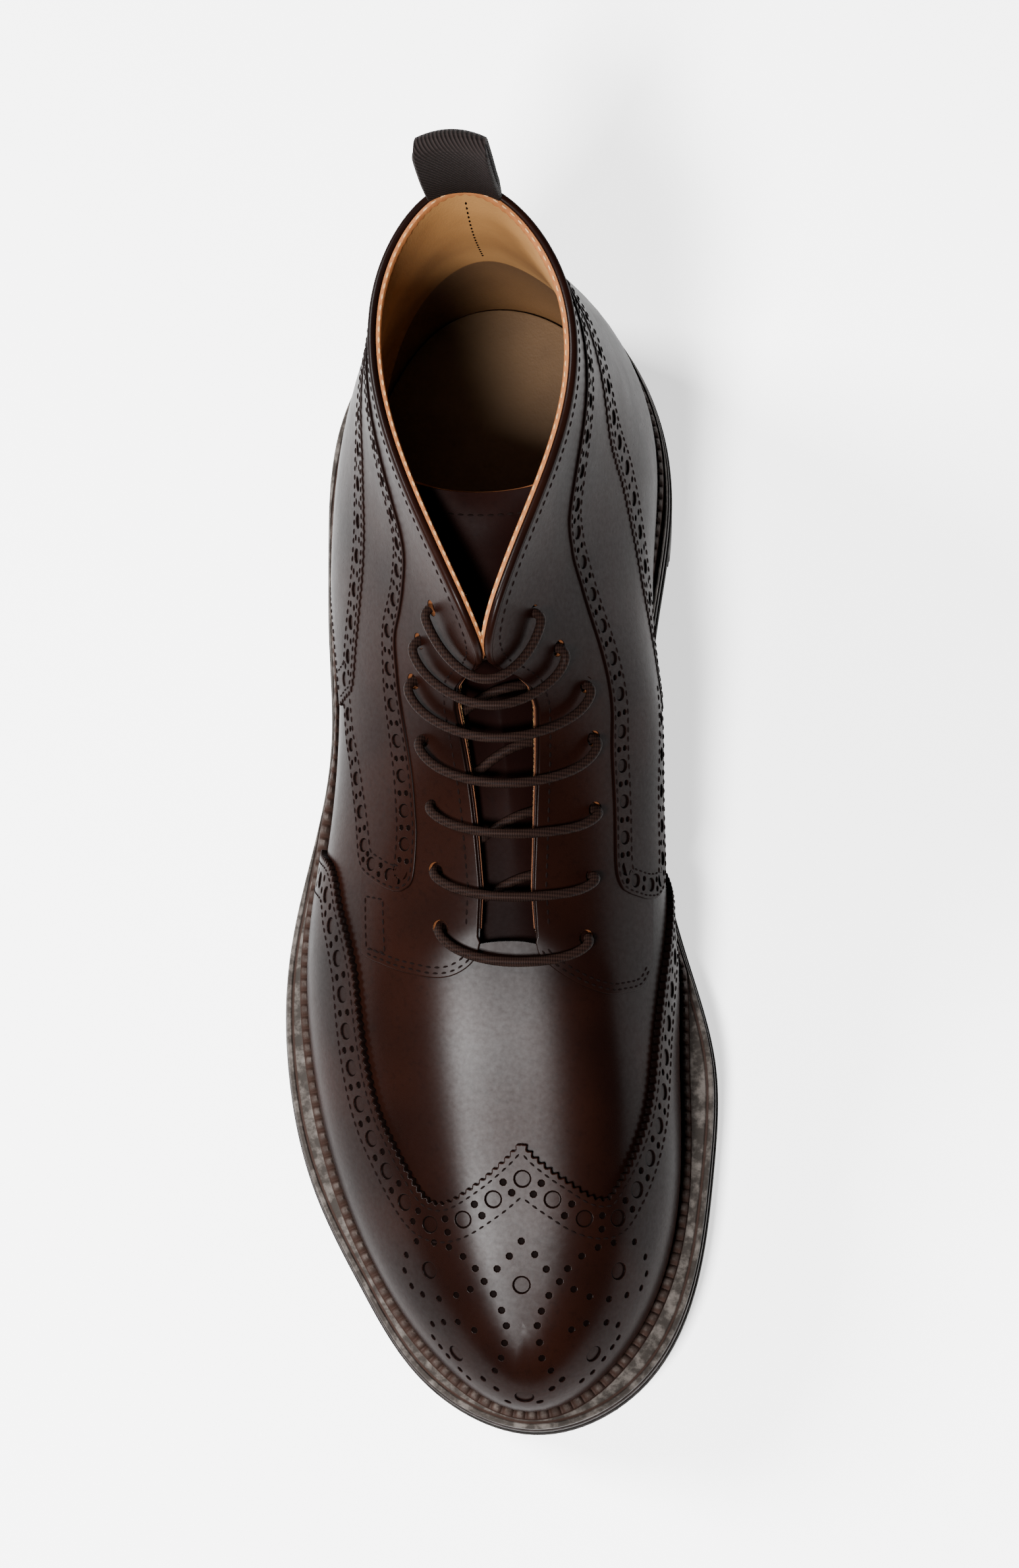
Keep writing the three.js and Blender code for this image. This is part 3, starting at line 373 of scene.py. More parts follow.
# Leather panel: outline and holes laid out flat, filled with triangles and set on the last. Rings of
# points give each cut edge and each hole a rounded rim
def leatherPanel(name, outline, holes, flat, top, base, pitDepth=0.55, rimMark=1.0):
    count, plan, bevel, grid = len(outline), flat(outline), cut["bevel"], cut["grid"]
    side = pathFrame(np.concatenate([outline[-1:], outline, outline[:1]]))[3][1:-1]
    if inside(flat(onFace(outline, side * bevel)), plan).mean() < 0.5:
        side = -side
    sheets, kinds, rings, start = [onFace(outline, side * bevel)], [np.zeros(count, int)], [], count
    centres, radii = holes
    wide = radii > cut["wideFrom"]
    for hole, chosen in ((cut["wide"], wide), (cut["narrow"], ~wide)):
        middle, radius, sides = centres[chosen], radii[chosen], hole["sides"]
        if not len(middle):
            continue
        first = unit(np.cross(normalsOf(middle), (0.3, 1.0, 0.2)))
        second = np.cross(normalsOf(middle), first)
        angle = 2 * np.pi * np.arange(sides) / sides
        spoke = first[:, None] * np.cos(angle)[:, None] + second[:, None] * np.sin(angle)[:, None]
        outer, inner = (onFace(np.repeat(middle[:, None], sides, 1), spoke * (radius[:, None, None] + extra))
                        for extra in (cut["rim"], 0.0))
        rings.append((hole, middle, -spoke.reshape(-1, 3), inner.reshape(-1, 2), start))
        sheets.append(outer.reshape(-1, 2))
        kinds.append(np.repeat(np.arange(len(middle)), sides) + 1 + kinds[-1].max())
        start += len(sheets[-1])

    # points between the rings, clear of them
    lattice = np.meshgrid(*map(np.arange, outline.min(0), outline.max(0), (grid, grid / 4)))
    lattice = np.stack(lattice, -1).reshape(-1, 2)
    lattice = lattice[inside(flat(lattice), plan)]
    taken, spots = flat(np.concatenate(sheets)), flat(lattice)
    clear = np.ones(len(lattice), bool)
    for chunk in np.array_split(taken, max(1, len(taken) // 600)):
        clear &= ((spots[:, None] - chunk[None])**2).sum(-1).min(1) > (grid * 8)**2
    ta = np.concatenate([*sheets, lattice[clear]])
    kind = np.concatenate([*kinds, np.full(int(clear.sum()), -1)])
    laid = flat(ta)

    # triangles, without those over a hole or outside the outline
    edges = [(k, (k + 1) % count) for k in range(count)]
    for hole, middle, _, rim, first in rings:
        sides = hole["sides"]
        edges += [(at + k, at + (k + 1) % sides) for at in range(first, first + len(rim), sides)
                  for k in range(sides)]
    _, _, found, origins, *_ = delaunay_2d_cdt([Vector(spot) for spot in laid], edges, [], 0, 1e-5, True)
    origins = np.array([ids[0] if ids else -1 for ids in origins])
    tris = origins[np.array([f for f in found if len(f) == 3])]
    tris = tris[(tris >= 0).all(1)]
    overHole = (kind[tris] == kind[tris[:, :1]]).all(1) & (kind[tris[:, 0]] > 0)
    tris = tris[~overHole]
    onRing = (kind[tris] == 0).all(1)
    keep = ~onRing
    keep[onRing] = inside(laid[tris[onRing]].mean(1), laid[:count])
    tris = tris[keep]

    # points, normals and marks of the face, of the cut edge rounded over and down to the base, and of
    # the underside with its holes closed
    surface, normal = pointsOf(ta), normalsOf(ta)
    edgePoint, edgeNormal = pointsOf(outline), normalsOf(outline)
    total, k = len(ta), np.arange(count)
    n = (k + 1) % count
    rounded, foot = total, total + count
    layers = [(surface + normal * top, normal, np.zeros(total)),
              (edgePoint + edgeNormal * (top - bevel * 0.6), unit(edgeNormal - side * 0.8), np.full(count, 0.75)),
              (edgePoint + edgeNormal * base, unit(-side + edgeNormal * 0.1), np.full(count, 1.0)),
              (surface[count:] + normal[count:] * base, -normal[count:], np.zeros(total - count))]
    bottomOf = foot + np.arange(total)
    faces = [tris, bottomOf[tris][:, ::-1]]
    faces += [np.stack([k, n, rounded + n, rounded + k], 1),
              np.stack([rounded + k, rounded + n, foot + n, foot + k], 1)]
    size = foot + total
    for hole, middle, inward, rim, first in rings:
        number, ring, sides = len(middle), len(rim), hole["sides"]
        rimPoint, rimNormal = pointsOf(rim), normalsOf(rim)
        midPoint, midNormal = pointsOf(middle), normalsOf(middle)
        lean, dot = cut["lean"], hole["mark"]
        # Marks paint shade on the lip and wall (the raw edge colour where rimMark is 2), and on the floor and middle
        # as much painted shade as the hole's mark
        layers += [
            (rimPoint + rimNormal * (top - cut["lip"]), unit(rimNormal * 0.5 + inward),
             np.full(ring, 0.9 * rimMark)),
            (rimPoint + inward * lean + rimNormal * (top - pitDepth), unit(rimNormal + inward * 0.5),
             np.full(ring, rimMark)),
            (rimPoint + inward * (lean + hole["floor"]) + rimNormal * (top - pitDepth * 0.9), rimNormal,
             np.full(ring, dot)),
            (midPoint + midNormal * (top - pitDepth * 0.8), midNormal, np.full(number, dot)),
            (midPoint + midNormal * base, -midNormal, np.zeros(number))]
        here = np.arange(ring)
        owner = here // sides
        there = owner * sides + (here + 1) % sides
        wall, pit, floor = size, size + ring, size + 2 * ring
        middleAt, underAt = floor + ring, floor + ring + number
        faces += [np.stack([low + there, low + here, high + here, high + there], 1)
                  for low, high in ((first, wall), (wall, pit), (pit, floor))]
        faces += [np.stack([floor + there, floor + here, middleAt + owner], 1),
                  np.stack([bottomOf[first + here], bottomOf[first + there], underAt + owner], 1)]
        size += 3 * ring + 2 * number
    points, normals, marks = map(np.concatenate, zip(*layers))
    return makeMesh(name, points, faces, normals, marks)


# A shader socket that takes part in arithmetic
class Wire:
    def __init__(self, look, socket):
        self.look = look
        self.socket = socket

    def math(self, kind, *others):
        return self.look.node("ShaderNodeMath", {"operation": kind}, self, *others)

    def __add__(self, other):
        return self.math("ADD", other)

    __radd__ = __add__

    def __sub__(self, other):
        return self.math("SUBTRACT", other)

    def __rsub__(self, other):
        return self.look.node("ShaderNodeMath", {"operation": "SUBTRACT"}, other, self)

    def __mul__(self, other):
        return self.math("MULTIPLY", other)

    __rmul__ = __mul__

    # 0 below low, 1 above high, soft in between
    def step(self, low, high):
        settings = {"interpolation_type": "SMOOTHSTEP"}
        return self.look.node("ShaderNodeMapRange", settings, self, low, high, 0.0, 1.0)


# A material under construction: node() adds any node, the other methods are the ones used most
class Look:
    def __init__(self, name, **constants):
        self.material = bpy.data.materials.new(name)
        self.material.use_nodes = True
        self.tree = self.material.node_tree
        self.shader = self.tree.nodes["Principled BSDF"]
        for label, value in constants.items():
            self.shader.inputs[label.replace("_", " ")].default_value = value
        self.spot = self.node("ShaderNodeTexCoord", {}, output="Object")
        self.x, self.y, self.z = (self.node("ShaderNodeSeparateXYZ", {}, self.spot, output=k) for k in range(3))

    def node(self, kind, settings, *values, output=0, **named):
        made = self.tree.nodes.new(kind)
        for label, value in settings.items():
            setattr(made, label, value)
        for key, value in [*enumerate(values), *((k.replace("_", " "), v) for k, v in named.items())]:
            if isinstance(value, Wire):
                self.tree.links.new(value.socket, made.inputs[key])
            elif value is not None:
                made.inputs[key].default_value = value
        return Wire(self, made.outputs[output])

    def noise(self, scale, detail=2.0, roughness=0.5):
        return self.node("ShaderNodeTexNoise", {}, Vector=self.spot, Scale=scale, Detail=detail,
                         Roughness=roughness)

    def cells(self, scale, feature="F1"):
        return self.node("ShaderNodeTexVoronoi", {"feature": feature}, Vector=self.spot, Scale=scale)

    def mark(self):
        return self.node("ShaderNodeAttribute", {"attribute_name": "mark"}, output="Fac")

    def mix(self, share, low, high):
        ends = [colour if isinstance(colour, Wire) else (*colour, 1.0) for colour in (low, high)]
        return self.node("ShaderNodeMix", {"data_type": "RGBA"}, share, None, None, None, None, None, *ends,
                         output=2)

    def set(self, label, wire):
        self.tree.links.new(wire.socket, self.shader.inputs[label])

    # heights in mm
    def bump(self, *heights):
        total = sum(heights[1:], heights[0])
        self.set("Normal", self.node("ShaderNodeBump", {}, Strength=1.0, Distance=0.001, Height=total))
        return self.material


# Smooth burnished calf: dye in broad clouds, a fine grain, dark or raw cut edges by the mark. The same
# mark paints shade on the walls and floors of punched holes, and takes the coat off the dark parts
def leatherLook(name, spec):
    look = Look(name, Roughness=spec["rough"], IOR=spec["ior"], Coat_Weight=spec["coat"], Coat_IOR=1.5,
                Coat_Roughness=spec["rough"])
    clouds = look.noise(24.0, 2.0).step(0.25, 0.8)
    colour = look.mix(clouds, spec["dark"], spec["red"])
    fleck = look.noise(520.0, 3.0, 0.6).step(0.5, 0.72)
    colour = look.mix(fleck * 0.35, colour, spec["dark"])
    edge = look.mark()
    # dark colour of cut edges, and painted shade on the walls and floors of punched holes
    colour = look.mix(edge.step(0.3, 0.95), colour, spec["cut"])
    colour = look.mix(edge.step(1.2, 1.8), colour, spec["raw"])
    look.set("Base Color", colour)
    # no coat on the dark edges and on the holes' painted shade; elsewhere the coat varies finely
    gloss = (1.0 - edge.step(0.3, 0.8)) * (look.noise(800.0, 4.0, 0.6) * 0.9 + 0.55)
    look.set("Coat Weight", gloss * spec["coat"])
    look.set("Roughness", look.noise(150.0, 3.0) * 0.12 + look.noise(900.0) * 0.06 + (spec["rough"] - 0.09))
    pores = look.cells(950.0, "DISTANCE_TO_EDGE") * 0.02
    return look.bump(pores, look.noise(700.0, 4.0, 0.6) * spec["grain"], look.noise(60.0, 2.0) * spec["ripple"])


# cut: the dark colour of cut edges, also the painted shade in punched holes; raw: the tan of raw edges
leatherSpec = {"dark": (0.0022, 0.0008, 0.0006), "red": (0.0064, 0.0019, 0.0011),
               "cut": (0.0014, 0.0008, 0.0007), "raw": (0.06, 0.022, 0.009), "rough": 0.3, "ior": 1.02,
               "coat": 0.068, "grain": 0.03, "ripple": 0.25}
leather = leatherLook("burgundyLeather", leatherSpec)
tongueLeather = leatherLook("tongueLeather", {
    **leatherSpec, "cut": (0.1, 0.038, 0.016), "rough": 0.48, "coat": 0.015, "dark": (0.002, 0.0007, 0.0006),
    "red": (0.0045, 0.0014, 0.001)})


# Vegetable-tanned lining: even tan, fine pores, darker where the heel rubs
def liningLook(name, spec):
    look = Look(name, Roughness=0.62, Specular_IOR_Level=0.3)
    colour = look.mix(look.noise(30.0, 4.0).step(0.3, 0.7), spec["low"], spec["high"])
    arch = look.z + look.x * look.x * spec["gripCurve"]
    low = 1.0 - arch.step(spec["gripTop"] - 0.0015, spec["gripTop"])
    colour = look.mix(low * 0.8, colour, spec["grip"])
    look.set("Base Color", colour)
    return look.bump(look.noise(1100.0, 3.0) * 0.05, look.cells(1500.0) * 0.03)


liningSpec = {"low": (0.155, 0.071, 0.021), "high": (0.23, 0.113, 0.036), "grip": (0.032, 0.014, 0.005),
              "gripTop": 0.088, "gripCurve": 48.0}
lining = liningLook("tanLining", liningSpec)
insoleLeather = liningLook("insoleLeather", {**liningSpec, "low": (0.036, 0.018, 0.0068),
                                             "high": (0.056, 0.03, 0.012), "gripTop": 0.0})


# Raw leather: pale fibres, darker by the mark
def rawLook(name, low, high):
    look = Look(name, Roughness=0.8, Specular_IOR_Level=0.2)
    colour = look.mix(look.noise(400.0, 3.0), low, high)
    look.set("Base Color", look.mix(look.mark() * 0.75, colour, (0.03, 0.01, 0.005)))
    return look.bump(look.noise(1500.0, 3.0) * 0.12)


rawEdge = rawLook("rawEdge", (0.1, 0.032, 0.0085), (0.2, 0.07, 0.018))


# Welt, midsole and stack: dull brown with pale worn flecks and thin layers. On the welt the mark darkens
# the rib and paints shade in its notches, its groove, the corners at the rib's foot and towards the underside
def soleLook(name, spec):
    look = Look(name, Roughness=spec["rough"], IOR=1.1)
    worn = look.noise(260.0, 4.0, 0.65).step(0.42, 0.7)
    colour = look.mix(worn, spec["low"], spec["high"])
    layer = (look.z * spec["layers"]).math("SINE").step(0.6, 1.0)
    colour = look.mix(layer * 0.5, colour, spec["cut"])
    # the welt's mark: a darker rib, and painted shade in notches, groove and corners
    colour = look.mix(look.mark().step(0.2, 1.0), colour, spec["cut"])
    look.set("Base Color", colour)
    return look.bump(look.noise(900.0, 3.0) * 0.08, look.noise(120.0, 3.0) * 0.15, layer * -0.1)


# On the welt, cut is the colour of the darker rib and of the painted shade
weltLook = soleLook("weltLeather", {"low": (0.017, 0.0142, 0.0124), "high": (0.06, 0.052, 0.0465),
                                    "cut": (0.016, 0.009, 0.007), "layers": 0.0, "rough": 0.55})
midsoleLook = soleLook("midsoleLeather", {"low": (0.008, 0.0055, 0.0048), "high": (0.018, 0.013, 0.012),
                                          "cut": (0.004, 0.003, 0.003), "layers": 0.0, "rough": 0.5})
stackLook = soleLook("stackLeather", {"low": (0.008, 0.0055, 0.0045), "high": (0.017, 0.012, 0.01),
                                      "cut": (0.003, 0.002, 0.002), "layers": 1400.0, "rough": 0.5})
rubberLook = soleLook("soleRubber", {"low": (0.007, 0.006, 0.0055), "high": (0.015, 0.013, 0.012),
                                     "cut": (0.004, 0.003, 0.003), "layers": 0.0, "rough": 0.72})


# Waxed round lace: a fine slanting braid
def laceLook(name):
    look = Look(name, Roughness=0.45, IOR=1.06)
    braid = ((look.x + look.y * 0.6) * 5200.0).math("SINE") * ((look.x - look.y * 0.6) * 5200.0).math("SINE")
    look.set("Base Color", look.mix(braid.step(-0.6, 0.6), (0.0035, 0.0019, 0.0016), (0.0085, 0.0045, 0.0035)))
    return look.bump(braid * 0.03, look.noise(900.0) * 0.04)


# Twill webbing: slanting ribs crossed by fine threads
def webbingLook(name):
    look = Look(name, Roughness=0.8, Specular_IOR_Level=0.08)
    rib = ((look.x * 0.75 + look.z * 0.5 + look.y * 0.3) * 8200.0).math("SINE")
    thread = ((look.z - look.y * 0.3) * 9000.0).math("SINE")
    colour = look.mix(rib.step(-0.8, 0.9), (0.0035, 0.0023, 0.002), (0.009, 0.006, 0.0055))
    look.set("Base Color", colour)
    return look.bump(rib * 0.12, thread * 0.04)


# Waxed thread of one colour
def threadLook(name, colour):
    look = Look(name, Roughness=0.7, IOR=1.05)
    look.set("Base Color", look.mix(look.noise(1500.0), colour, tuple(c * 0.6 for c in colour)))
    return look.material


laceThread = laceLook("waxedLace")
webbing = webbingLook("twillWebbing")
darkThread = threadLook("darkThread", (0.004, 0.0022, 0.002))
creamThread = threadLook("creamThread", (0.32, 0.18, 0.085))

# Edge lines of the panels as rows of station and height; medial stations run below zero
wing = {
    "lateral": [(5.9, 0.1), (5.6, 0.27), (5.35, 0.34), (5.03, 0.383), (4.7, 0.425), (4.38, 0.455), (4.1, 0.467),
                (3.1, 0.483), (2.58, 0.525), (2.08, 0.585), (1.88, 0.635), (1.79, 0.7), (1.78, 0.78),
                (1.82, 0.86), (1.93, 0.94), (2.08, 1.0)],
    "medial": [(-2.08, 1.0), (-1.95, 0.95), (-1.86, 0.87), (-1.83, 0.78), (-1.84, 0.7), (-1.92, 0.63),
               (-2.06, 0.585), (-2.6, 0.483), (-3.25, 0.385), (-4.1, 0.3), (-4.7, 0.25), (-5.3, 0.18),
               (-5.7, 0.08)],
    "foot": 0.015, "top": 1.75, "base": -0.4, "gimpPitch": 2.15, "gimpDepth": 0.85, "rows": (1.3, 9.3),
    "holes": 5.2, "peakHole": 1.7, "holePitch": 9.3, "large": 2.15, "small": 0.85, "pairGap": 3.4,
}

# Half of the toe's punched rosette in plan, in mm: across from its middle, toward the toe, and 1 for a
# large hole or 0 for a small one
rosette = {"middle": (9.4, -119.4), "large": 2.2, "small": 0.82, "spots": [
    (0, 0, 1), (23, -4.4, 1), (16.4, 15.5, 1), (0.2, 26, 1), (0, -11, 0), (3.2, -7.3, 0), (6.2, -4, 0),
    (9.3, -1, 0), (7, 2.3, 0), (5, 6.2, 0), (3.9, 9.9, 0), (4.2, 14, 0), (4.8, 17.4, 0), (6.5, 20, 0),
    (9.2, 21.7, 0), (6.4, 24, 0), (12.4, 0.9, 0), (16.1, 2.1, 0), (20.4, 2.5, 0), (24.9, 0.9, 0),
    (27.9, -1.3, 0), (11.4, -4.2, 0), (14.5, -7.3, 0), (18.2, -9.6, 0), (21.8, -11, 0), (26.4, -11.8, 0),
    (29, -8.7, 0), (29.3, -5, 0), (11.6, 10.4, 0), (15.4, 8.4, 0), (19.5, 8, 0), (22.4, 8.2, 0),
    (23.1, 11.3, 0), (22.2, 14.5, 0), (20.1, 17.4, 0), (16.6, 20.2, 0), (13.5, 21.6, 0), (3.7, 26.7, 0),
]}

# Stitches in mm: their pitch along a row, and half the length, width and height of one
stitch = {"pitch": 2.35, "long": 0.82, "wide": 0.3, "high": 0.26}
stitchRows = {"dark": [], "cream": []}


# Stitches along a path of points: middles, directions and outward normals, kept for makeStitches
def addRow(points, normal, kind="dark", pitch=stitch["pitch"]):
    length = travelled(points)
    count = max(2, round(length[-1] / pitch))
    at = (np.arange(count) + 0.5) / count * length[-1]
    run = np.gradient(points, axis=0)
    kept = [np.stack([np.interp(at, length, part[:, k]) for k in range(3)], -1) for part in (points, run, normal)]
    stitchRows[kind].append(kept)


# Stitches along a path of stations and heights, lifted off the last
def addStitches(path, lift):
    if len(path) > 3:
        points, _, normal, _ = pathFrame(path)
        addRow(points + normal * lift, normal)


# All stitches of one thread: three five-sided rings and two tips each
def makeStitches(name, rows):
    middle, run, normal = (np.concatenate(parts) for parts in zip(*rows))
    normal = unit(normal)
    run = unit(run - (run * normal).sum(-1)[:, None] * normal)
    side = np.cross(normal, run)
    rings = [(-0.62, 0.72), (0.0, 1.0), (0.62, 0.72)]
    angle = 2 * np.pi * np.arange(5) / 5
    shape = [(-1, 0, 0)] + [(x, w * np.cos(b), w * np.sin(b)) for x, w in rings for b in angle] + [(1, 0, 0)]
    shape = np.array(shape) * (stitch["long"], stitch["wide"], stitch["high"])
    axes = enumerate((run, side, normal))
    points = middle[:, None] + sum(shape[None, :, k, None] * axis[:, None] for k, axis in axes)
    k = np.arange(5)
    n = (k + 1) % 5
    tips = np.concatenate([np.stack([0 * k, 1 + n, 1 + k], 1), np.stack([16 + 0 * k, 11 + k, 11 + n], 1)])
    first = np.arange(len(middle))[:, None, None] * len(shape)
    faces = [(tips[None] + first).reshape(-1, 3), (gridFaces(3, 5)[None] + 1 + first).reshape(-1, 4)]
    return makeMesh(name, points.reshape(-1, 3), faces)


# Stations and heights under given places in plan, found among close samples of the toe
def underPlan(places):
    t, a = np.meshgrid(np.linspace(-4, 4, 321), np.linspace(0.3, 1, 141), indexing="ij")
    samples = np.stack([t.ravel(), a.ravel()], -1)
    points = pointsOf(samples)
    apart = np.linalg.norm(points[:, :2] - places[:, None], axis=-1)
    return samples[np.argmin(apart - 0.02 * points[:, 2], 1)]


# Wing cap: gimped edge, two rows of stitches with holes between them, rosette on the toe
def makeWing(spec):
    paths = [curve(spec["lateral"], 0.3), curve(spec["medial"], 0.3)]
    foot = np.stack([np.linspace(paths[1][-1, 0], paths[0][0, 0], 240), np.full(240, spec["foot"])], -1)
    rough = np.concatenate([foot, paths[0][:-1], paths[1]])
    signs = [insideSign(path, rough, toeMap) for path in paths]
    cuts = [gimped(path, spec["gimpPitch"], -sign * spec["gimpDepth"]) for path, sign in zip(paths, signs)]
    outline = np.concatenate([foot, cuts[0][:-1], cuts[1]])
    holes = []
    for path, sign in zip(paths, signs):
        own = np.sign(path[len(path) // 2, 0])
        for offset in (*spec["rows"], spec["holes"]):
            row = sideways(path[4:-4], sign * offset)
            row = row[(row[:, 1] < 0.998) & (np.sign(row[:, 0]) == own)]
            if offset == spec["holes"]:
                fromPeak = row[::-1] if own > 0 else row
                holes.append(alongRow(evenly(fromPeak, spec["holePitch"] / 2)[1:-2], spec, 1))
            else:
                addStitches(row, spec["top"])
    peak = np.array([[spec["peakHole"], 1.0]])
    spots = np.array([(sign * across, ahead, big) for across, ahead, big in rosette["spots"]
                      for sign in ((1, -1) if across > 1 else (1,))])
    dots = underPlan(np.array(rosette["middle"]) + spots[:, :2] * (1, -1))
    radii = np.where(spots[:, 2] > 0, rosette["large"], rosette["small"])
    centres = np.concatenate([h[0] for h in holes] + [peak, dots])
    sizes = np.concatenate([h[1] for h in holes] + [[spec["large"]], radii])
    return leatherPanel("wing_cap_leather", outline, (centres, sizes), toeMap, spec["top"], spec["base"])


# Rows of the other panels. Both sides use stations from the toe; the inner side is turned into
# stations past the heel when a panel is made
facingEdge = [(0, 0.9), (4.05, 0.9), (4.6, 0.91), (5.4, 0.89), (6, 0.873), (6.6, 0.858), (6.9, 0.87), (7.1, 0.91),
              (7.3, 0.955), (7.6, 0.98), (8, 0.99), (8.5, 1), (12, 1)]
counter = {
    "top": {"lateral": [(7.12, 0.283), (7.16, 0.34), (7.24, 0.385), (7.7, 0.408), (8.2, 0.44), (8.7, 0.48),
                        (9.1, 0.52), (9.4, 0.56), (10, 0.66), (11, 0.78), (12, 0.84)],
            "medial": [(7.1, 0.215), (7.3, 0.24), (7.8, 0.26), (8.15, 0.292), (8.8, 0.367), (9.35, 0.475),
                       (10, 0.667), (11, 0.79), (12, 0.84)]},
    "foot": {"lateral": [(7.12, 0.283), (7.3, 0.265), (7.6, 0.232), (7.95, 0.19), (8.3, 0.12), (8.6, 0.015)],
             "medial": [(7.1, 0.215), (7.4, 0.185), (7.95, 0.14), (8.3, 0.09), (8.6, 0.015)]},
    "level": 0.015, "lift": 2.1, "base": -0.4, "gimpPitch": 2.15, "gimpDepth": 0.8, "rows": (1.2, 8.2),
    "holes": 4.7, "holePitch": 9.2, "large": 1.9, "small": 0.75, "pairGap": 3.0,
}
quarter = {
    "top": {"lateral": [(4.83, 0.625), (4.8, 0.66), (4.88, 0.692), (5.3, 0.7), (5.62, 0.692), (6.1, 0.675),
                        (6.75, 0.642), (7.2, 0.622), (7.73, 0.608), (8.1, 0.635), (8.55, 0.69), (9.05, 0.775),
                        (9.5, 0.82), (10, 0.86), (11, 0.885), (12, 0.89)],
            "medial": [(4.97, 0.5), (4.98, 0.545), (5.15, 0.572), (5.7, 0.583), (6.3, 0.592), (6.9, 0.578),
                       (7.77, 0.583), (8.42, 0.625), (8.9, 0.7), (9.3, 0.78), (10, 0.86), (11, 0.885),
                       (12, 0.89)]},
    "foot": {"lateral": [(4.83, 0.625), (4.98, 0.567), (5.28, 0.485), (5.8, 0.442), (6.4, 0.385), (6.75, 0.342),
                         (7.3, 0.3)],
             "medial": [(4.97, 0.5), (5.05, 0.408), (5.2, 0.33), (5.5, 0.285), (6.4, 0.28), (7.3, 0.23)]},
    "under": {"lateral": [(7.3, 0.3), (7.7, 0.39), (8.7, 0.465), (9.4, 0.545), (10, 0.645), (11, 0.765),
                          (12, 0.825)],
              "medial": [(7.3, 0.23), (8.15, 0.275), (8.8, 0.35), (9.35, 0.458), (10, 0.65), (11, 0.775),
                         (12, 0.825)]},
    "lift": 1.75, "base": -0.4, "rows": (0.9, 6.4), "holes": 3.65, "holePitch": 9.0, "large": 1.75, "small": 0.7,
    "pairGap": 2.4,
}
facing = {
    "tab": {"lateral": [(5.36, 0.487), (4.41, 0.497), (4.3, 0.533), (4.2, 0.575), (4.08, 0.625), (3.98, 0.675),
                        (3.86, 0.742), (3.81, 0.8), (3.84, 0.85), (3.93, 0.885), (4.07, 0.9)],
            "medial": [(5.16, 0.37), (4.47, 0.36), (4.2, 0.42), (4, 0.52), (3.88, 0.6), (3.82, 0.7),
                       (3.84, 0.8), (3.94, 0.88), (4.07, 0.9)]},
    "lift": 1.2, "base": -0.4, "eyelet": 2.0, "edgeRow": 2.9, "tabRow": 1.2,
    "tack": [(4.93, 0.515), (4.8, 0.585), (4.28, 0.592), (4.42, 0.522), (4.93, 0.515)],
}
eyelets = {
    "lateral": [(8.33, 0.81), (7.75, 0.715), (7.08, 0.69), (6.35, 0.72), (5.6, 0.75), (4.88, 0.765),
                (4.3, 0.78)],
    "medial": [(8.27, 0.815), (7.62, 0.73), (7.02, 0.665), (6.38, 0.66), (5.62, 0.66), (4.93, 0.665),
               (4.3, 0.69)],
}
sides = ("lateral", "medial")


# Rows of the outer side as they are, rows of the inner side counted on past the heel
def onSide(path, side):
    path = np.asarray(path, float)
    return path if side == "lateral" else np.stack([full - path[:, 0], path[:, 1]], -1)


# Height of the edge of throat and collar at each station
def edgeShare(t):
    return np.interp(np.minimum(t % full, full - t % full), *np.array(facingEdge, float).T)


# Upper: one shell under all the overlays, open at the collar, down the throat and underneath
def makeUpper():
    t = np.concatenate([np.linspace(0, last["throat"], 46)[:-1], np.linspace(last["throat"], half, 120)])
    t = np.concatenate([t, full - t[-2:0:-1]])
    rows, ridgeRows = 40, 7
    heights = np.linspace(0, 1, rows + 1)[None] * (edgeShare(t)[:, None] - last["edgeGap"])
    columns = np.arange(len(t))
    main = np.stack(np.broadcast_arrays(t[:, None], heights), -1).reshape(-1, 2)
    front = np.concatenate([columns[t >= full - last["throat"] - 1e-6], columns[t <= last["throat"] + 1e-6]])
    part = np.linspace(0, 1, ridgeRows + 1)
    low = heights[front, -1][:, None]
    ridge = np.stack(np.broadcast_arrays(t[front][:, None], low + (1 - low) * part[None]), -1).reshape(-1, 2)
    quads = [gridFaces(len(t), rows + 1, True, False),
             gridFaces(len(front), ridgeRows + 1, around=False) + len(main)]
    return thickSheet("upper_leather", np.concatenate([main, ridge]), quads, 0.0, -1.2)


# Lining behind the upper from the throat round the heel
def makeLining():
    t = np.linspace(last["throat"] - 0.4, full - last["throat"] + 0.4, 260)
    rows = 44
    heights = np.linspace(0, 1, rows + 1)[None] * (edgeShare(t)[:, None] - last["edgeGap"])
    grid = np.stack(np.broadcast_arrays(t[:, None], heights), -1).reshape(-1, 2)
    points, _, normal, _ = pathFrame(curve([(half, 0.96), (half, 0.5)]))
    addRow(points - normal * (last["wall"] + 0.02), -normal, pitch=3.0)
    return thickSheet("lining", grid, [gridFaces(len(t), rows + 1, around=False)], -1.2, -last["wall"])


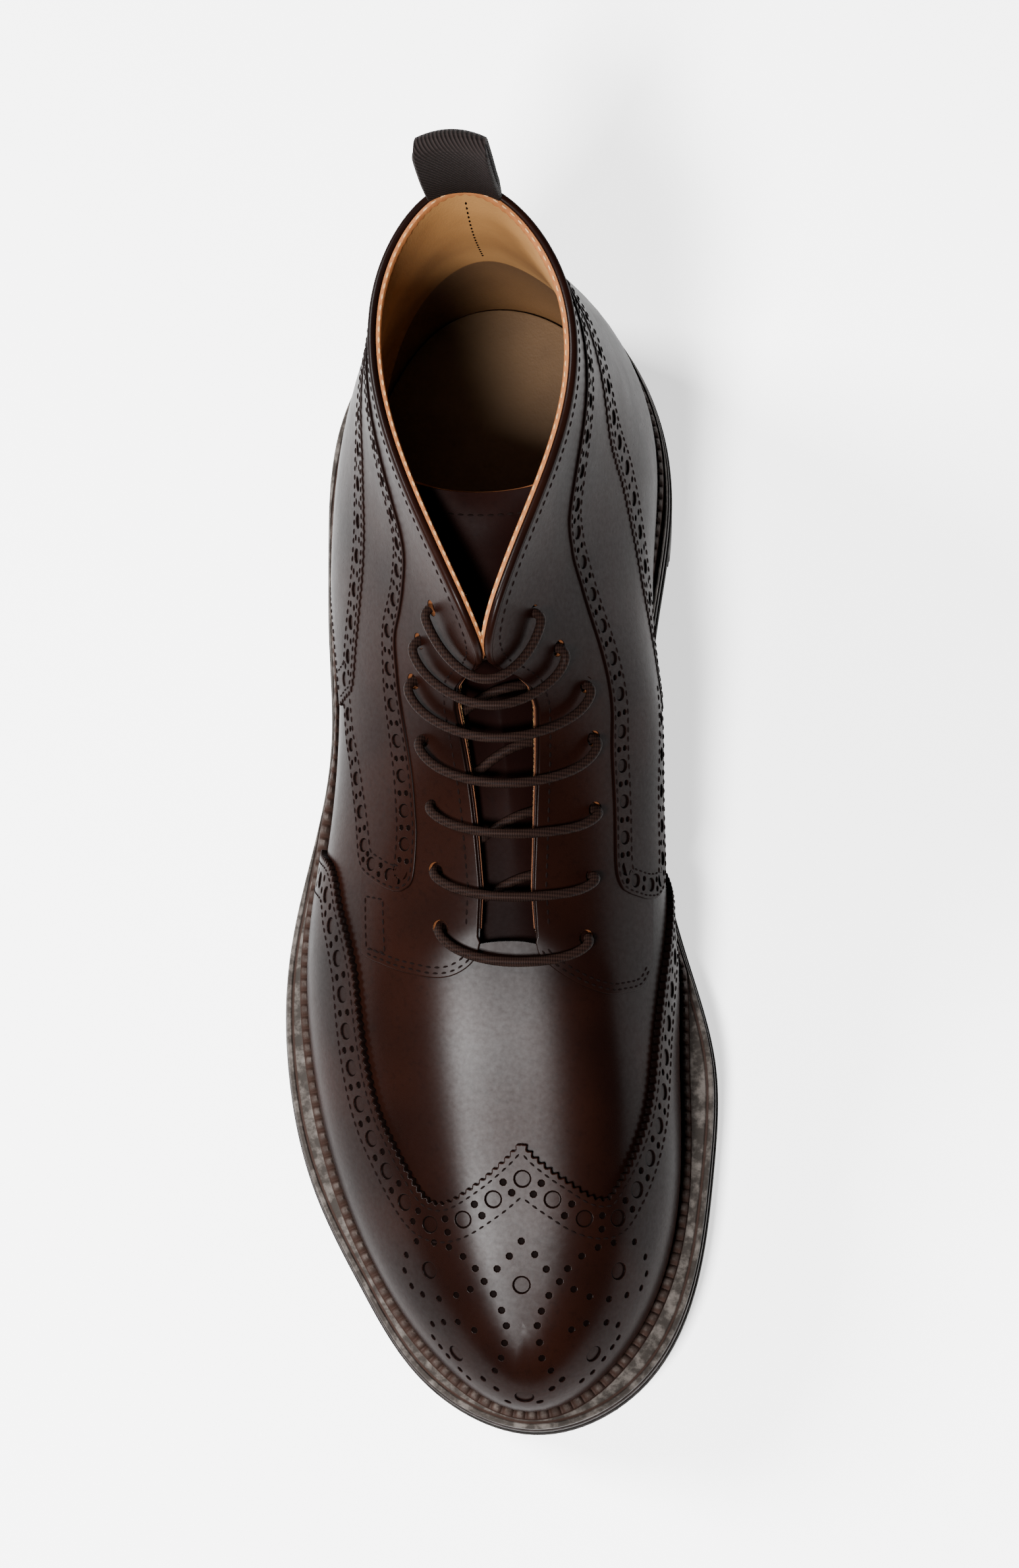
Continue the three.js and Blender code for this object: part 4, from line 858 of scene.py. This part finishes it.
# Closed shell between two distances from the last, with walls along its open edges. Points that fall
# together are joined, and the quads are turned to face outwards
def thickSheet(name, ta, quads, outer, inner):
    points, normal = pointsOf(ta), normalsOf(ta)
    unique, owner = np.unique(np.round(points * 200).astype(np.int64), axis=0, return_inverse=True)
    owner = owner.ravel()
    first = np.zeros(len(unique), int)
    first[owner[::-1]] = np.arange(len(ta))[::-1]
    points, normal = points[first], normal[first]
    quads = owner[np.concatenate(quads)[:, [0, 3, 2, 1]]]
    count = len(first)
    edges = np.concatenate([quads[:, [k, (k + 1) % 4]] for k in range(4)])
    edges = edges[edges[:, 0] != edges[:, 1]]
    forth, back = edges @ (count, 1), edges @ (1, count)
    rim = edges[~np.isin(forth, back)]
    walls = np.stack([rim[:, 1], rim[:, 0], rim[:, 0] + count, rim[:, 1] + count], 1)
    polygons = [tuple(dict.fromkeys(quad)) for quad in quads.tolist()]
    polygons = [polygon for polygon in polygons if len(polygon) > 2]
    backs = [tuple(v + count for v in reversed(polygon)) for polygon in polygons]
    return makeMesh(name, np.concatenate([points + normal * outer, points + normal * inner]),
                    [polygons, backs, walls], np.concatenate([normal, -normal]))


# Heel counter: gimped top edges that meet at the back, down to just over the feather line
def makeCounter(spec):
    tops = [onSide(curve(spec["top"][side], 0.3), side) for side in sides]
    feet = [onSide(curve(spec["foot"][side], 0.5), side) for side in sides]
    level = np.linspace(feet[0][-1, 0], feet[1][-1, 0], 160)[1:-1]
    level = np.stack([level, np.full(len(level), spec["level"])], -1)
    close = [feet[1][1:], level[::-1]]
    rough = np.concatenate([feet[0][::-1][:-1], tops[0][:-1], tops[1][::-1], *close])
    signs = [insideSign(path, rough, sideMap) for path in tops]
    cuts = [gimped(path, spec["gimpPitch"], -sign * spec["gimpDepth"]) for path, sign in zip(tops, signs)]
    outline = np.concatenate([feet[0][::-1][:-1], cuts[0][:-1], cuts[1][::-1], *close])
    holes = [bandHoles(path[20:-22], spec, sign) for path, sign in zip(tops, signs)]
    for side, path, foot, sign in zip(sides, tops, feet, signs):
        for offset in spec["rows"]:
            row = sideways(path[8:], sign * offset)
            addStitches(row[(row[:, 0] < half) if side == "lateral" else (row[:, 0] > half)], spec["lift"])
        addStitches(sideways(foot[6:-4], -sign * 1.2), spec["lift"])
    every = (np.concatenate([h[0] for h in holes]), np.concatenate([h[1] for h in holes]))
    return leatherPanel("heel_counter_leather", outline, every, sideMap, spec["lift"], spec["base"])


# Quarter: one band round its foot and top to the back seam, its lower edge under the counter
def makeQuarter(spec, side):
    top, foot, under = (onSide(curve(spec[edge][side], 0.5), side) for edge in ("top", "foot", "under"))
    band = evenly(np.concatenate([foot[::-1][:-1], top]), 0.5)
    seam = np.array([[half, h] for h in np.linspace(under[-1, 1], top[-1, 1], 12)[1:-1]])
    outline = np.concatenate([band, seam[::-1], under[::-1][:-1]])
    sign = insideSign(band, outline, sideMap)
    for offset in spec["rows"]:
        addStitches(tidyRow(sideways(band, sign * offset)), spec["lift"])
    holes = bandHoles(band[8:-4], spec, sign)
    return leatherPanel(f"quarter_{side}_leather", outline, holes, sideMap, spec["lift"], spec["base"])


# A row of stitches keeps only the points that lie on one smooth run
def tidyRow(row):
    run = unit(np.gradient(pointsOf(row), axis=0))
    steady = np.concatenate([[True], (run[1:] * run[:-1]).sum(1) > 0.6])
    return evenly(row[steady], 0.5)


# Facing: tab in front, throat and collar above, its rear edge hidden under the quarter
def makeFacing(spec, side):
    tab = onSide(curve(spec["tab"][side][1:], 0.5), side)
    rear = onSide(curve(spec["tab"][side][:2], 0.5), side)
    t = np.linspace(last["throat"] + 0.06, half - 0.002, 260)
    edge = evenly(onSide(np.stack([t, edgeShare(t) - 0.008], -1), side), 0.5)
    hidden = [(x, y - 0.03) for x, y in quarter["top"][side][3:]]
    hidden = [spec["tab"][side][0], (5.5, 0.56 if side == "lateral" else 0.45)] + hidden
    below = onSide(curve(hidden, 0.8), side)
    outline = np.concatenate([rear[:-1], tab, edge[1:], below[::-1][:-1]])
    sign = insideSign(edge, outline, sideMap)
    addStitches(sideways(edge[6:-2], sign * spec["edgeRow"]), spec["lift"])
    tabSign = insideSign(tab, outline, sideMap)
    for offset in (spec["tabRow"], spec["tabRow"] + 1.5):
        addStitches(sideways(tab[4:-4], tabSign * offset), spec["lift"])
    if side == "lateral":
        for start, end in zip(spec["tack"], spec["tack"][1:]):
            addStitches(curve([start, end], 0.5), spec["lift"])
    centres = onSide(eyelets[side], side)
    holes = (centres, np.full(len(centres), spec["eyelet"]))
    return leatherPanel(f"facing_{side}_leather", outline, holes, sideMap, spec["lift"], spec["base"], pitDepth=1.3,
                        rimMark=2.0)


# Closed tube: a profile of steps out and up, the same everywhere or one for each point, carried
# along a path
def sweep(name, centre, out, up, profile, marks=None):
    profile = np.asarray(profile, float)
    profile = np.broadcast_to(profile, (len(centre), *profile.shape[-2:]))
    points = centre[:, None] + profile[..., :1] * out[:, None] + profile[..., 1:] * up[:, None]
    count, corners = points.shape[:2]
    faces = [gridFaces(count, corners), [range(corners)], [range((count - 1) * corners, count * corners)]]
    marks = None if marks is None else np.broadcast_to(marks, (count, corners)).ravel()
    return makeMesh(name, points.reshape(-1, 3), faces, marks=marks)


# Sheet from a grid of points, as thick as stated behind its face, with a rounded edge marked as cut
def gridSheet(name, grid, thickness, edgeMark=1.0):
    normal = unit(np.cross(np.gradient(grid, axis=1), np.gradient(grid, axis=0)))
    rows, columns = grid.shape[:2]
    index = np.arange(rows * columns).reshape(rows, columns)
    rim = np.concatenate([index[0, :-1], index[:-1, -1], index[-1, :0:-1], index[:0:-1, 0]])
    inner = np.clip(np.stack(np.unravel_index(rim, (rows, columns)), -1), 1, (rows - 2, columns - 2))
    flat, bend = grid.reshape(-1, 3), normal.reshape(-1, 3)
    out = unit(flat[rim] - grid[inner[:, 0], inner[:, 1]])
    bulge, fall = 0.3, 0.35
    front, rear = (flat[rim] + out * bulge - bend[rim] * depth for depth in (fall, thickness - fall))
    back = flat - bend * thickness
    total, count = len(flat), len(rim)
    k = np.arange(count)
    n = (k + 1) % count
    first, second, under = total, total + count, total + 2 * count
    cell = gridFaces(rows, columns, around=False)
    faces = [cell, cell[:, ::-1] + under]
    for low, high in ((rim, first + np.arange(count)), (first + k, second + k), (second + k, under + rim)):
        faces.append(np.stack([low[k], low[n], high[n], high[k]], 1))
    points = np.concatenate([flat, front, rear, back])
    marks = np.concatenate([np.zeros(total), np.full(2 * count, edgeMark), np.zeros(total)])
    return makeMesh(name, points, faces, marks=marks)


# Raw edge of collar and throat: a strip over the inner part of the wall's top with a pinked inner edge,
# a dark bead outside it and pale stitches. Both grow thin down the throat, below the stations stated
collarEdge = {"start": 4.2, "spacing": 0.45, "teeth": 2.6, "hang": 0.9, "bead": 1.15, "beadOut": 0.08,
              "thin": (6.9, 7.9), "least": 0.3}


def makeCollar(spec):
    t = np.linspace(spec["start"], full - spec["start"], 900)
    path = evenly(np.stack([t, edgeShare(t) - last["edgeGap"]], -1), spec["spacing"])
    centre, _, normal, side = pathFrame(path)
    rise = slopes(path[:, 0], np.clip(path[:, 1], 0, 0.998))[1]
    up = unit(side * np.sign((side * rise).sum(-1))[:, None])
    for _ in range(6):
        for directions in (up, normal):
            directions[1:-1] = unit(directions[:-2] + 2 * directions[1:-1] + directions[2:])
    fromToe = np.minimum(path[:, 0], full - path[:, 0])
    thin, whole = spec["thin"]
    grown = smooth(np.clip((fromToe - thin) / (whole - thin), 0, 1))
    length = np.arange(len(path)) * spec["spacing"]
    tooth = np.abs((length / spec["teeth"]) % 1 - 0.5) * 2
    hang = -0.35 - spec["hang"] * tooth * grown
    inner = -1.3 - 0.8 * grown
    steps = [(-0.35 + 0 * grown, -0.35), (-0.4 + 0 * grown, 0.35),
             (-0.75 + 0.2 * inner * grown, 0.5 * np.sqrt(0.3 + 0.7 * grown)),
             (0.85 * inner, 0.35 * grown + 0.05),
             (inner, -0.05), (inner - 0.08, hang), (inner + 0.3, hang - 0.12), (-0.9 + 0 * grown, -0.5)]
    profile = np.stack([np.stack(np.broadcast_arrays(out, high), -1) for out, high in steps], 1)
    edge = sweep("collar_raw_edge", centre, normal, up, profile, marks=(1 - grown)[:, None])
    angle = 2 * np.pi * np.arange(12) / 12
    ring = np.stack([np.cos(angle), np.sin(angle) * 0.9], -1) * spec["bead"]
    size = spec["least"] + (1 - spec["least"]) * grown
    bead = sweep("collar_bead", centre, normal, up, ring * size[:, None, None] + (spec["beadOut"], -0.1))
    sewn = fromToe > whole
    middle = centre + normal * (inner + 0.55)[:, None] + up * 0.42
    addRow(middle[sewn], up[sewn], "cream", 2.7)
    return edge, bead


# Tongue: the rows under the facings follow the ridge, the free ones lean back inside the collar
tongue = {
    "under": [3.3, 3.8, 4.4, 5, 5.6, 6.1], "lateral": 0.28, "medial": 0.36, "depth": -5.65, "thickness": 2.0,
    "free": [(0.417, 0.712, 0.019, 0.12, 0.062), (0.392, 0.764, 0.012, 0.122, 0.056),
             (0.362, 0.812, 0.005, 0.122, 0.048), (0.325, 0.86, 0.001, 0.126, 0.042),
             (0.284, 0.912, -0.004, 0.14, 0.036)],
}


def makeTongue(spec):
    s = np.linspace(-1, 1, 33)
    spread = np.where(s < 0, spec["lateral"], spec["medial"])
    rows = []
    for station in spec["under"]:
        t = np.where(s < 0, station, full - station)
        share = 1 - np.abs(s) * spread
        row = face(t, share) + faceNormal(t, share) * spec["depth"]
        middle = [face(x, 1.0) + faceNormal(x, 1.0) * spec["depth"] for x in (station, full - station)]
        row[len(s) // 2] = sum(middle) / 2
        rows.append(row)
    free = np.array(spec["free"])
    length, width, tall = last["soleLength"], last["ballWidth"], last["collarHeight"]
    for k, (along, high, across, wide, bow) in enumerate(free):
        before, after = free[max(0, k - 1)], free[min(len(free) - 1, k + 1)]
        run = unit(np.array([0, (before[0] - after[0]) * length, (after[1] - before[1]) * tall]))
        row = place((across + s * wide) * width, along * length + 0 * s, high * tall + 0 * s)
        rows.append(row - np.outer(s**2 * bow * width, (0, -run[2], run[1])))
    grid = throughRows(rows, 7)
    for _ in range(3):
        grid[:, 1:-1] = (grid[:, :-2] + 2 * grid[:, 1:-1] + grid[:, 2:]) / 4
    top = np.arange(len(grid)) / (len(grid) - 1)
    grid[:, :, 2] -= 4.0 * (1 - s**2) * np.clip((top - 0.9) / 0.1, 0, 1)[:, None]**2
    addRow(grid[-4] + (0, -0.1, 0.15), np.tile([0.0, -0.35, 0.9], (len(s), 1)))
    return gridSheet("tongue_leather", grid, spec["thickness"])


# A place out from the feather line and up from the welt's top
def besideFeather(t, distance, high):
    t = np.asarray(t, float)
    run = onLoop(featherLoop, t + 1e-3) - onLoop(featherLoop, t - 1e-3)
    out = unit(np.stack([-run[..., 1], run[..., 0], 0 * t], -1))
    point = onLoop(featherLoop, t) + out * np.asarray(distance)[..., None]
    point[..., 2] = weltTop(last["soleLength"] / 2 - point[..., 1]) + high
    return point


# Distance of the welt's edge from the feather line
def weltWidth(t):
    return onLoop(weltWidths, t)[..., 0]


# Stations at equal distances round the boot, and the length all round
def aroundFeather(spacing, distance=6.0):
    t = np.linspace(0, full, 6001)
    points = besideFeather(t, distance, 0.0)
    length = travelled(points)
    count = round(length[-1] / spacing)
    return np.interp(np.arange(count) / count * length[-1], length, t), length[-1]


# Storm welt: a flat strip with a groove near its edge and a rib beside the upper, notched all round.
# Each notch is a raised cosine along the edge, flattened so that teeth are wider than notches
storm = {"spacing": 0.5, "thick": 3.2, "inside": -7.0, "ribIn": 2.0, "rib": 2.6, "ribWide": 2.5, "notch": 1.5,
         "pitch": 3.5}


def makeWelt(spec):
    t, length = aroundFeather(spec["spacing"])
    teeth = round(length / spec["pitch"])
    notch = (0.5 - 0.5 * np.cos(2 * np.pi * teeth * np.arange(len(t)) / len(t)))**2.5
    thick, rib = spec["thick"], spec["ribIn"]
    edge = weltWidth(t) - 1.0
    ribOut = np.minimum(rib + spec["ribWide"], edge - 0.6)
    high = spec["rib"] - spec["notch"] * notch
    wide = ribOut - rib
    groove = np.maximum(ribOut + 0.15, edge - 2.3)
    room = edge - groove
    # out, up and mark of each corner; the mark darkens the rib and paints shade at the rib's feet, in the
    # groove and towards the underside
    section = [(spec["inside"], -thick, 0), (spec["inside"], 0, 0), (rib - 0.7, 0, 1), (rib, high * 0.75, 0.8),
               (rib + 0.28 * wide, high, 0.62), (rib + 0.62 * wide, high * 0.97, 0.62),
               (rib + 0.92 * wide, high * 0.62, 0.8), (ribOut + 0.02 * room, 0.05, 1),
               (ribOut + 0.1 * room, 0, 0),
               (groove, 0, 0), (groove + 0.16 * room, -0.4, 0.9), (groove + 0.34 * room, -0.4, 0.9),
               (groove + 0.5 * room, 0, 0), (edge - 0.35, -0.05, 0), (edge, -0.5, 0), (edge, -thick + 0.4, 0.3),
               (edge - 0.4, -thick, 0)]
    points = np.stack([besideFeather(t, out + 0 * t, up + 0 * t) for out, up, _ in section], 1)
    marks = np.stack([mark + 0 * t for _, _, mark in section], 1)
    # painted shade in the notches
    marks[:, 3:7] += notch[:, None] * 0.6
    faces = [gridFaces(*points.shape[:2], closed=True)]
    return makeMesh("welt_leather", points.reshape(-1, 3), faces, marks=np.clip(marks, 0, 1).ravel())


# Plate under or in the boot: an edge with rounded corners and flat faces ruled between the two sides.
# With a start it ends there in a bowed breast; lugs are blocks under it, each with its foot and root
def makePlate(name, edge, high, low, start=0.0, bow=0.0, lugs=()):
    t = np.linspace(start, half, 150)
    rim = np.concatenate([t, full - t[::-1][1:]]) if start else np.concatenate([t[:-1], full - t[:0:-1]])
    soft, slant = 0.6, 0.18
    rings = [(soft, 0), (slant, slant), (0, soft), (0, -soft), (slant, -slant), (soft, 0)]
    back = np.linspace(1, 0, 21)[1:-1]
    loops = []
    for k, (inset, drop) in enumerate(rings):
        loop = besideFeather(rim, edge(rim) - inset, 0.0)
        if start:
            left, right = (besideFeather(end, edge(end) - inset, 0.0) for end in (start, full - start))
            breast = left * (1 - back[:, None]) + right * back[:, None]
            breast[:, 1] += 4 * bow * back * (1 - back) + inset
            loop = np.concatenate([loop, breast])
        loop[:, 2] = (high if k < 3 else low)(last["soleLength"] / 2 - loop[:, 1]) - drop
        loops.append(loop)
    count, total, m = len(loops[0]), len(rings), len(t)
    k = np.arange(0 if start else 1, m - 2)
    caps = np.stack([k, k + 1, 2 * m - 3 - k, 2 * m - 2 - k], 1).tolist() + [(m - 2, m - 1, m)]
    caps = [*caps, (0, 2 * m - 2, *range(2 * m - 1, count))] if start else [(0, 1, count - 1), *caps]
    bottom = (total - 1) * count
    faces = [gridFaces(total, count), caps, [[v + bottom for v in reversed(cap)] for cap in caps]]
    size = total * count
    for corners, foot, root in lugs:
        small = corners + unit(corners.mean(0) - corners) * 0.7
        along = last["soleLength"] / 2 - corners[:, 1]
        layers = [(small, foot(along)), (corners, foot(along) + soft), (corners, root(along))]
        loops += [np.stack([plan[:, 0], plan[:, 1], height], -1) for plan, height in layers]
        faces.append(np.array([(3, 2, 1, 0), *gridFaces(3, 4), (8, 9, 10, 11)]) + size)
        size += 12
    return makeMesh(name, np.concatenate(loops), faces)


# Tops, feet and depths in mm, pitches and halves of lugs and the starts in stations. The heel lift's
# two bars are shares of the sole's length and of the ball's width
sole = {"midsoleTop": 3.55, "midsoleFoot": 6.75, "outsoleTop": 7.1, "outsoleFoot": 11.1, "lugPitch": 0.56,
        "lugHalf": 0.168, "lugInset": 0.4, "treadDepth": 13.0, "barHalf": 5.0, "barGap": 5.0,
        "bars": [1.05, 2.1, 3.15, 4.2, 5.2], "heelStart": 9.0, "heelBow": 4.0, "stackGap": 0.35,
        "stackFoot": 9.35, "liftTop": 9.0, "liftFoot": 3.6, "liftLugs": 9, "liftLugHalf": 0.27, "liftFirst": 0.45,
        "liftInset": 1.4, "liftBars": (0.19, 0.105), "liftBarHalf": 0.025, "liftBarSides": (-0.2, 0.16)}


# Edges and heights that a plate is made from: inside the welt's edge, below its top, and level
def withinWelt(inset):
    return lambda t: weltWidth(t) - inset


def belowWelt(drop):
    return lambda along: weltTop(along) - drop


def flatAt(high):
    return lambda along: high + 0 * along


# Corners of a lug between two stations, from near the edge inwards
def edgeLug(start, end, depth, inset):
    t = np.array([start, end, end, start])
    outer = besideFeather(t, weltWidth(t) - inset, 0.0)
    inner = besideFeather(t, weltWidth(t) - depth, 0.0)
    return np.stack([outer[0], outer[1], inner[2], inner[3]])


def makeSole(spec):
    finish(makePlate("midsole_leather", withinWelt(0.5), belowWelt(spec["midsoleTop"]),
                     belowWelt(spec["midsoleFoot"])), midsoleLook, "midsole", "midsole")
    depth, lugHalf = spec["treadDepth"], spec["lugHalf"]
    foot, root = belowWelt(last["foreRise"]), belowWelt(spec["outsoleFoot"] - 2)
    lugs = [(edgeLug(t - lugHalf, t + lugHalf, depth, spec["lugInset"]), foot, root)
            for t in np.arange(-10, 11) * spec["lugPitch"]]
    shift = np.array([0, spec["barHalf"], 0])
    for t in spec["bars"]:
        ends = (t, full - t)
        left, right = (besideFeather(end, weltWidth(end) - (depth + spec["barGap"]), 0.0) for end in ends)
        lugs.append((np.stack([left - shift, right - shift, right + shift, left + shift]), foot, root))
    finish(makePlate("outsole_rubber", weltWidth, belowWelt(spec["outsoleTop"]), belowWelt(spec["outsoleFoot"]),
                     lugs=lugs), rubberLook, "sole_rubber", "outsole")
    heel = {"start": spec["heelStart"], "bow": spec["heelBow"]}
    stackTop = last["heelRise"] - spec["outsoleFoot"] - spec["stackGap"]
    finish(makePlate("heel_stack_leather", withinWelt(0.5), flatAt(stackTop), flatAt(spec["stackFoot"]), **heel),
           stackLook, "sole_rubber", "heel_stack")
    first, lugHalf = spec["heelStart"] + spec["liftFirst"], spec["liftLugHalf"]
    foot, root = flatAt(0.0), flatAt((spec["liftTop"] + spec["liftFoot"]) / 2)
    lugs = [(edgeLug(t - lugHalf, t + lugHalf, depth, spec["liftInset"]), foot, root)
            for t in np.linspace(first, full - first, spec["liftLugs"])]
    left, right = spec["liftBarSides"]
    for share in spec["liftBars"]:
        across = np.array([left, right, right, left]) * last["ballWidth"]
        along = (share + np.array([1, 1, -1, -1]) * spec["liftBarHalf"]) * last["soleLength"]
        lugs.append((place(across, along, 0 * along), foot, root))
    finish(makePlate("heel_lift_rubber", withinWelt(1.0), flatAt(spec["liftTop"]), flatAt(spec["liftFoot"]),
                     lugs=lugs, **heel), rubberLook, "sole_rubber", "heel_lift")


# Lace: a bar over each pair of eyelets that dips through both, and slanting runs under the facings
lace = {"diameter": 2.4, "over": 3.7, "under": -3.65, "bend": 1.9, "sag": 90, "hang": 0.8,
        "bars": [7.36, 6.72, 6.25, 5.7, 5.14, 4.5, 3.86]}


def makeLace(spec):
    def hole(side, k):
        t, a = eyelets[side][k]
        station = t if side == "lateral" else full - t
        return {"side": side, "t": t, "a": a, "point": face(station, a), "normal": rawNormal(station, a)}

    # a bar leaves its eyelet down along the facing before it turns across; hang is how much
    def toward(eyelet, ridge, f, level):
        hang = spec["hang"] if level > 0 else 0
        t = eyelet["t"] + (ridge - eyelet["t"]) * (f + hang * (math.sin(math.pi / 2 * f) - f))
        a = eyelet["a"] + (1 - eyelet["a"]) * (f + hang * (1 - math.cos(math.pi / 2 * f) - f))
        station = t if eyelet["side"] == "lateral" else full - t
        return face(station, a) + rawNormal(station, a) * level

    def crest(station, level):
        left, right = (rawNormal(t, 1.0) for t in (station, full - station))
        normal = unit(left + right)
        ridge = (face(station, 1.0) + face(full - station, 1.0)) / 2
        return ridge + normal * level / max(0.4, float(left @ normal))

    def arc(eyelet, aim, level, sign):
        flat = aim - eyelet["point"]
        flat = unit(flat - eyelet["normal"] * (flat @ eyelet["normal"]))
        turns = np.radians([0, 30, 60, 90])
        return [eyelet["point"] + flat * spec["bend"] * (1 - math.sin(b))
                + eyelet["normal"] * (level - sign * spec["bend"] * (1 - math.cos(b))) for b in turns]

    def run(start, end, ridge, level, sign):
        shares = (0.3, 0.6, 0.85)
        leave, arrive = ([toward(eyelet, ridge, f, level) for f in shares] for eyelet in (start, end))
        points = [*arc(start, leave[0], level, sign)[::-1], *leave, crest(ridge, level), *arrive[::-1],
                  *arc(end, arrive[0], level, sign)]
        return points, [0, 0, 0, 0, 0.5, 1, 1, 1, 1, 1, 0.5, 0, 0, 0, 0]

    points, loose = [], []
    for k, station in enumerate(spec["bars"]):
        left, right = hole("lateral", k), hole("medial", k)
        parts = [run(left, right, station, spec["over"], 1)]
        if k + 1 < len(spec["bars"]):
            onward = hole("lateral", k + 1)
            parts.append(run(right, onward, (right["t"] + onward["t"]) / 2, spec["under"], -1))
        for part, free in parts:
            points += part
            loose += free
    rows = np.concatenate([np.array(points), np.array(loose)[:, None]], 1)
    fine = throughRows(rows, 12)
    length = travelled(fine[:, :3])
    at = np.linspace(0, length[-1], int(length[-1] / 0.7))
    fine = np.stack([np.interp(at, length, fine[:, k]) for k in range(4)], -1)
    path, free = fine[:, :3], np.clip(fine[:, 3:], 0, 1)
    for _ in range(spec["sag"]):
        soft = (path[:-2] + 2 * path[1:-1] + path[2:]) / 4
        path[1:-1] += (soft - path[1:-1]) * np.maximum(free[1:-1], 0.05)
    ahead = unit(np.gradient(path, axis=0))
    out = np.zeros_like(path)
    out[0] = unit(np.cross(ahead[0], (0.2, 0.3, 1.0)))
    for k in range(1, len(path)):
        out[k] = unit(out[k - 1] - ahead[k] * (out[k - 1] @ ahead[k]))
    angle = 2 * np.pi * np.arange(14) / 14
    ring = np.stack([np.cos(angle), np.sin(angle)], -1) * spec["diameter"] / 2
    return sweep("lace_cord", path, out, np.cross(ahead, out), ring)


# Pull loop: twill webbing up the back, folded over and down inside the collar
loop = {"wide": 17.0, "thick": 1.6, "rise": 23.0, "legOut": 2.8, "gap": 5.0, "lean": 0.08, "hug": 17.0}


def makePullLoop(spec):
    across, along, high = stationRows[half, 5], stationRows[half, 3], stationRows[half, 4]
    top = place(across * last["ballWidth"], along * last["soleLength"], high * last["collarHeight"])
    out, rise, gap = spec["legOut"], spec["rise"], spec["gap"]
    rows = [(out - 1, -18), (out, -6), (out + 0.3, 2), (out + 1.9, rise * 0.5), (out + 2.9, rise * 0.86),
            (out + 1.7, rise), (out + 1.7 - gap * 0.6, rise), (out + 2.3 - gap, rise * 0.86),
            (-1.2, rise * 0.4), (-1.3, 1.5), (-1.1, -3)]
    middle = throughRows(rows, 7)
    run = unit(np.gradient(middle, axis=0))
    normal = np.stack([0 * run[:, 0], run[:, 1], -run[:, 0]], -1)
    side = np.linspace(-0.5, 0.5, 13) * spec["wide"]
    grid = np.zeros((len(middle), len(side), 3))
    grid[..., 0] = side[None] - spec["lean"] * np.maximum(0, middle[:, 1:])
    grid[..., 1] = middle[:, :1] - side[None]**2 / (2 * spec["hug"])
    grid[..., 2] = middle[:, 1:]
    grid += top + normal[:, None] * spec["thick"] / 2
    return gridSheet("pull_loop_webbing", grid[:, ::-1], spec["thick"], 0.0)


finish(makeUpper(), leather, "leather", "upper")
finish(makeLining(), lining, "insole_leather", "upper")
finish(makeWing(wing), leather, "leather", "wing_cap")
finish(makeCounter(counter), leather, "leather", "heel_counter")
for sideName in sides:
    finish(makeFacing(facing, sideName), leather, "leather", f"facing_{sideName}")
    finish(makeQuarter(quarter, sideName), leather, "leather", f"quarter_{sideName}")
rawStrip, bead = makeCollar(collarEdge)
finish(rawStrip, rawEdge, "leather", "upper")
finish(bead, leather, "leather", "upper")
finish(makeTongue(tongue), tongueLeather, "leather", "tongue")
finish(makePlate("insole_board", flatAt(-2.7), belowWelt(-3.4), belowWelt(-0.4)), insoleLeather,
       "insole_leather", "insole")
finish(makeWelt(storm), weltLook, "welt", "welt")
makeSole(sole)
finish(makeLace(lace), laceThread, "lace", "lace")
finish(makePullLoop(loop), webbing, "webbing", "pull_loop")
finish(makeStitches("dark_stitches", stitchRows["dark"]), darkThread, "leather")
finish(makeStitches("cream_stitches", stitchRows["cream"]), creamThread, "leather")
print("boot built")

# Studio: a pale floor, a lamp above the toe that lies on the vamp as one soft highlight, a wide one
# low on the outer side for the shadow, and dim surroundings
studio = {"floor": (0.9, 0.9, 0.9), "glow": 1.34, "world": 0.08,
          "lamps": {"above": {"place": (-0.3, -0.68, 1.6), "aim": (0, 0, 0.05), "size": (0.32, 0.32),
                              "power": 128.0},
                    "side": {"place": (-1.6, 0.5, 1.45), "aim": (-0.05, 0, 0.05), "size": (0.7, 0.7),
                             "power": 150.0}}}


def makeStudio(spec):
    mesh = bpy.data.meshes.new("floor")
    mesh.from_pydata([(x, y, -0.0003) for x, y in ((-4, -4), (4, -4), (4, 4), (-4, 4))], [], [(0, 1, 2, 3)])
    floor = bpy.data.objects.new("floor", mesh)
    bpy.context.scene.collection.objects.link(floor)
    paper = Look("paper", Roughness=0.95, Specular_IOR_Level=0.1)
    paper.shader.inputs["Base Color"].default_value = (*spec["floor"], 1)
    paper.shader.inputs["Emission Color"].default_value = (1, 1, 1, 1)
    paper.shader.inputs["Emission Strength"].default_value = spec["glow"]
    mesh.materials.append(paper.material)
    for name, lamp in spec["lamps"].items():
        data = bpy.data.lights.new(name, "AREA")
        data.shape = "RECTANGLE"
        data.size, data.size_y = lamp["size"]
        data.energy = lamp["power"]
        made = bpy.data.objects.new(name, data)
        made.location = lamp["place"]
        aim = Vector(lamp["aim"]) - made.location
        made.rotation_euler = aim.to_track_quat("-Z", "Y").to_euler()
        bpy.context.scene.collection.objects.link(made)
    world = bpy.data.worlds.new("studio")
    bpy.context.scene.world = world
    world.use_nodes = True
    sky = world.node_tree.nodes["Background"]
    sky.inputs[0].default_value = (1, 1, 1, 1)
    sky.inputs[1].default_value = spec["world"]


makeStudio(studio)
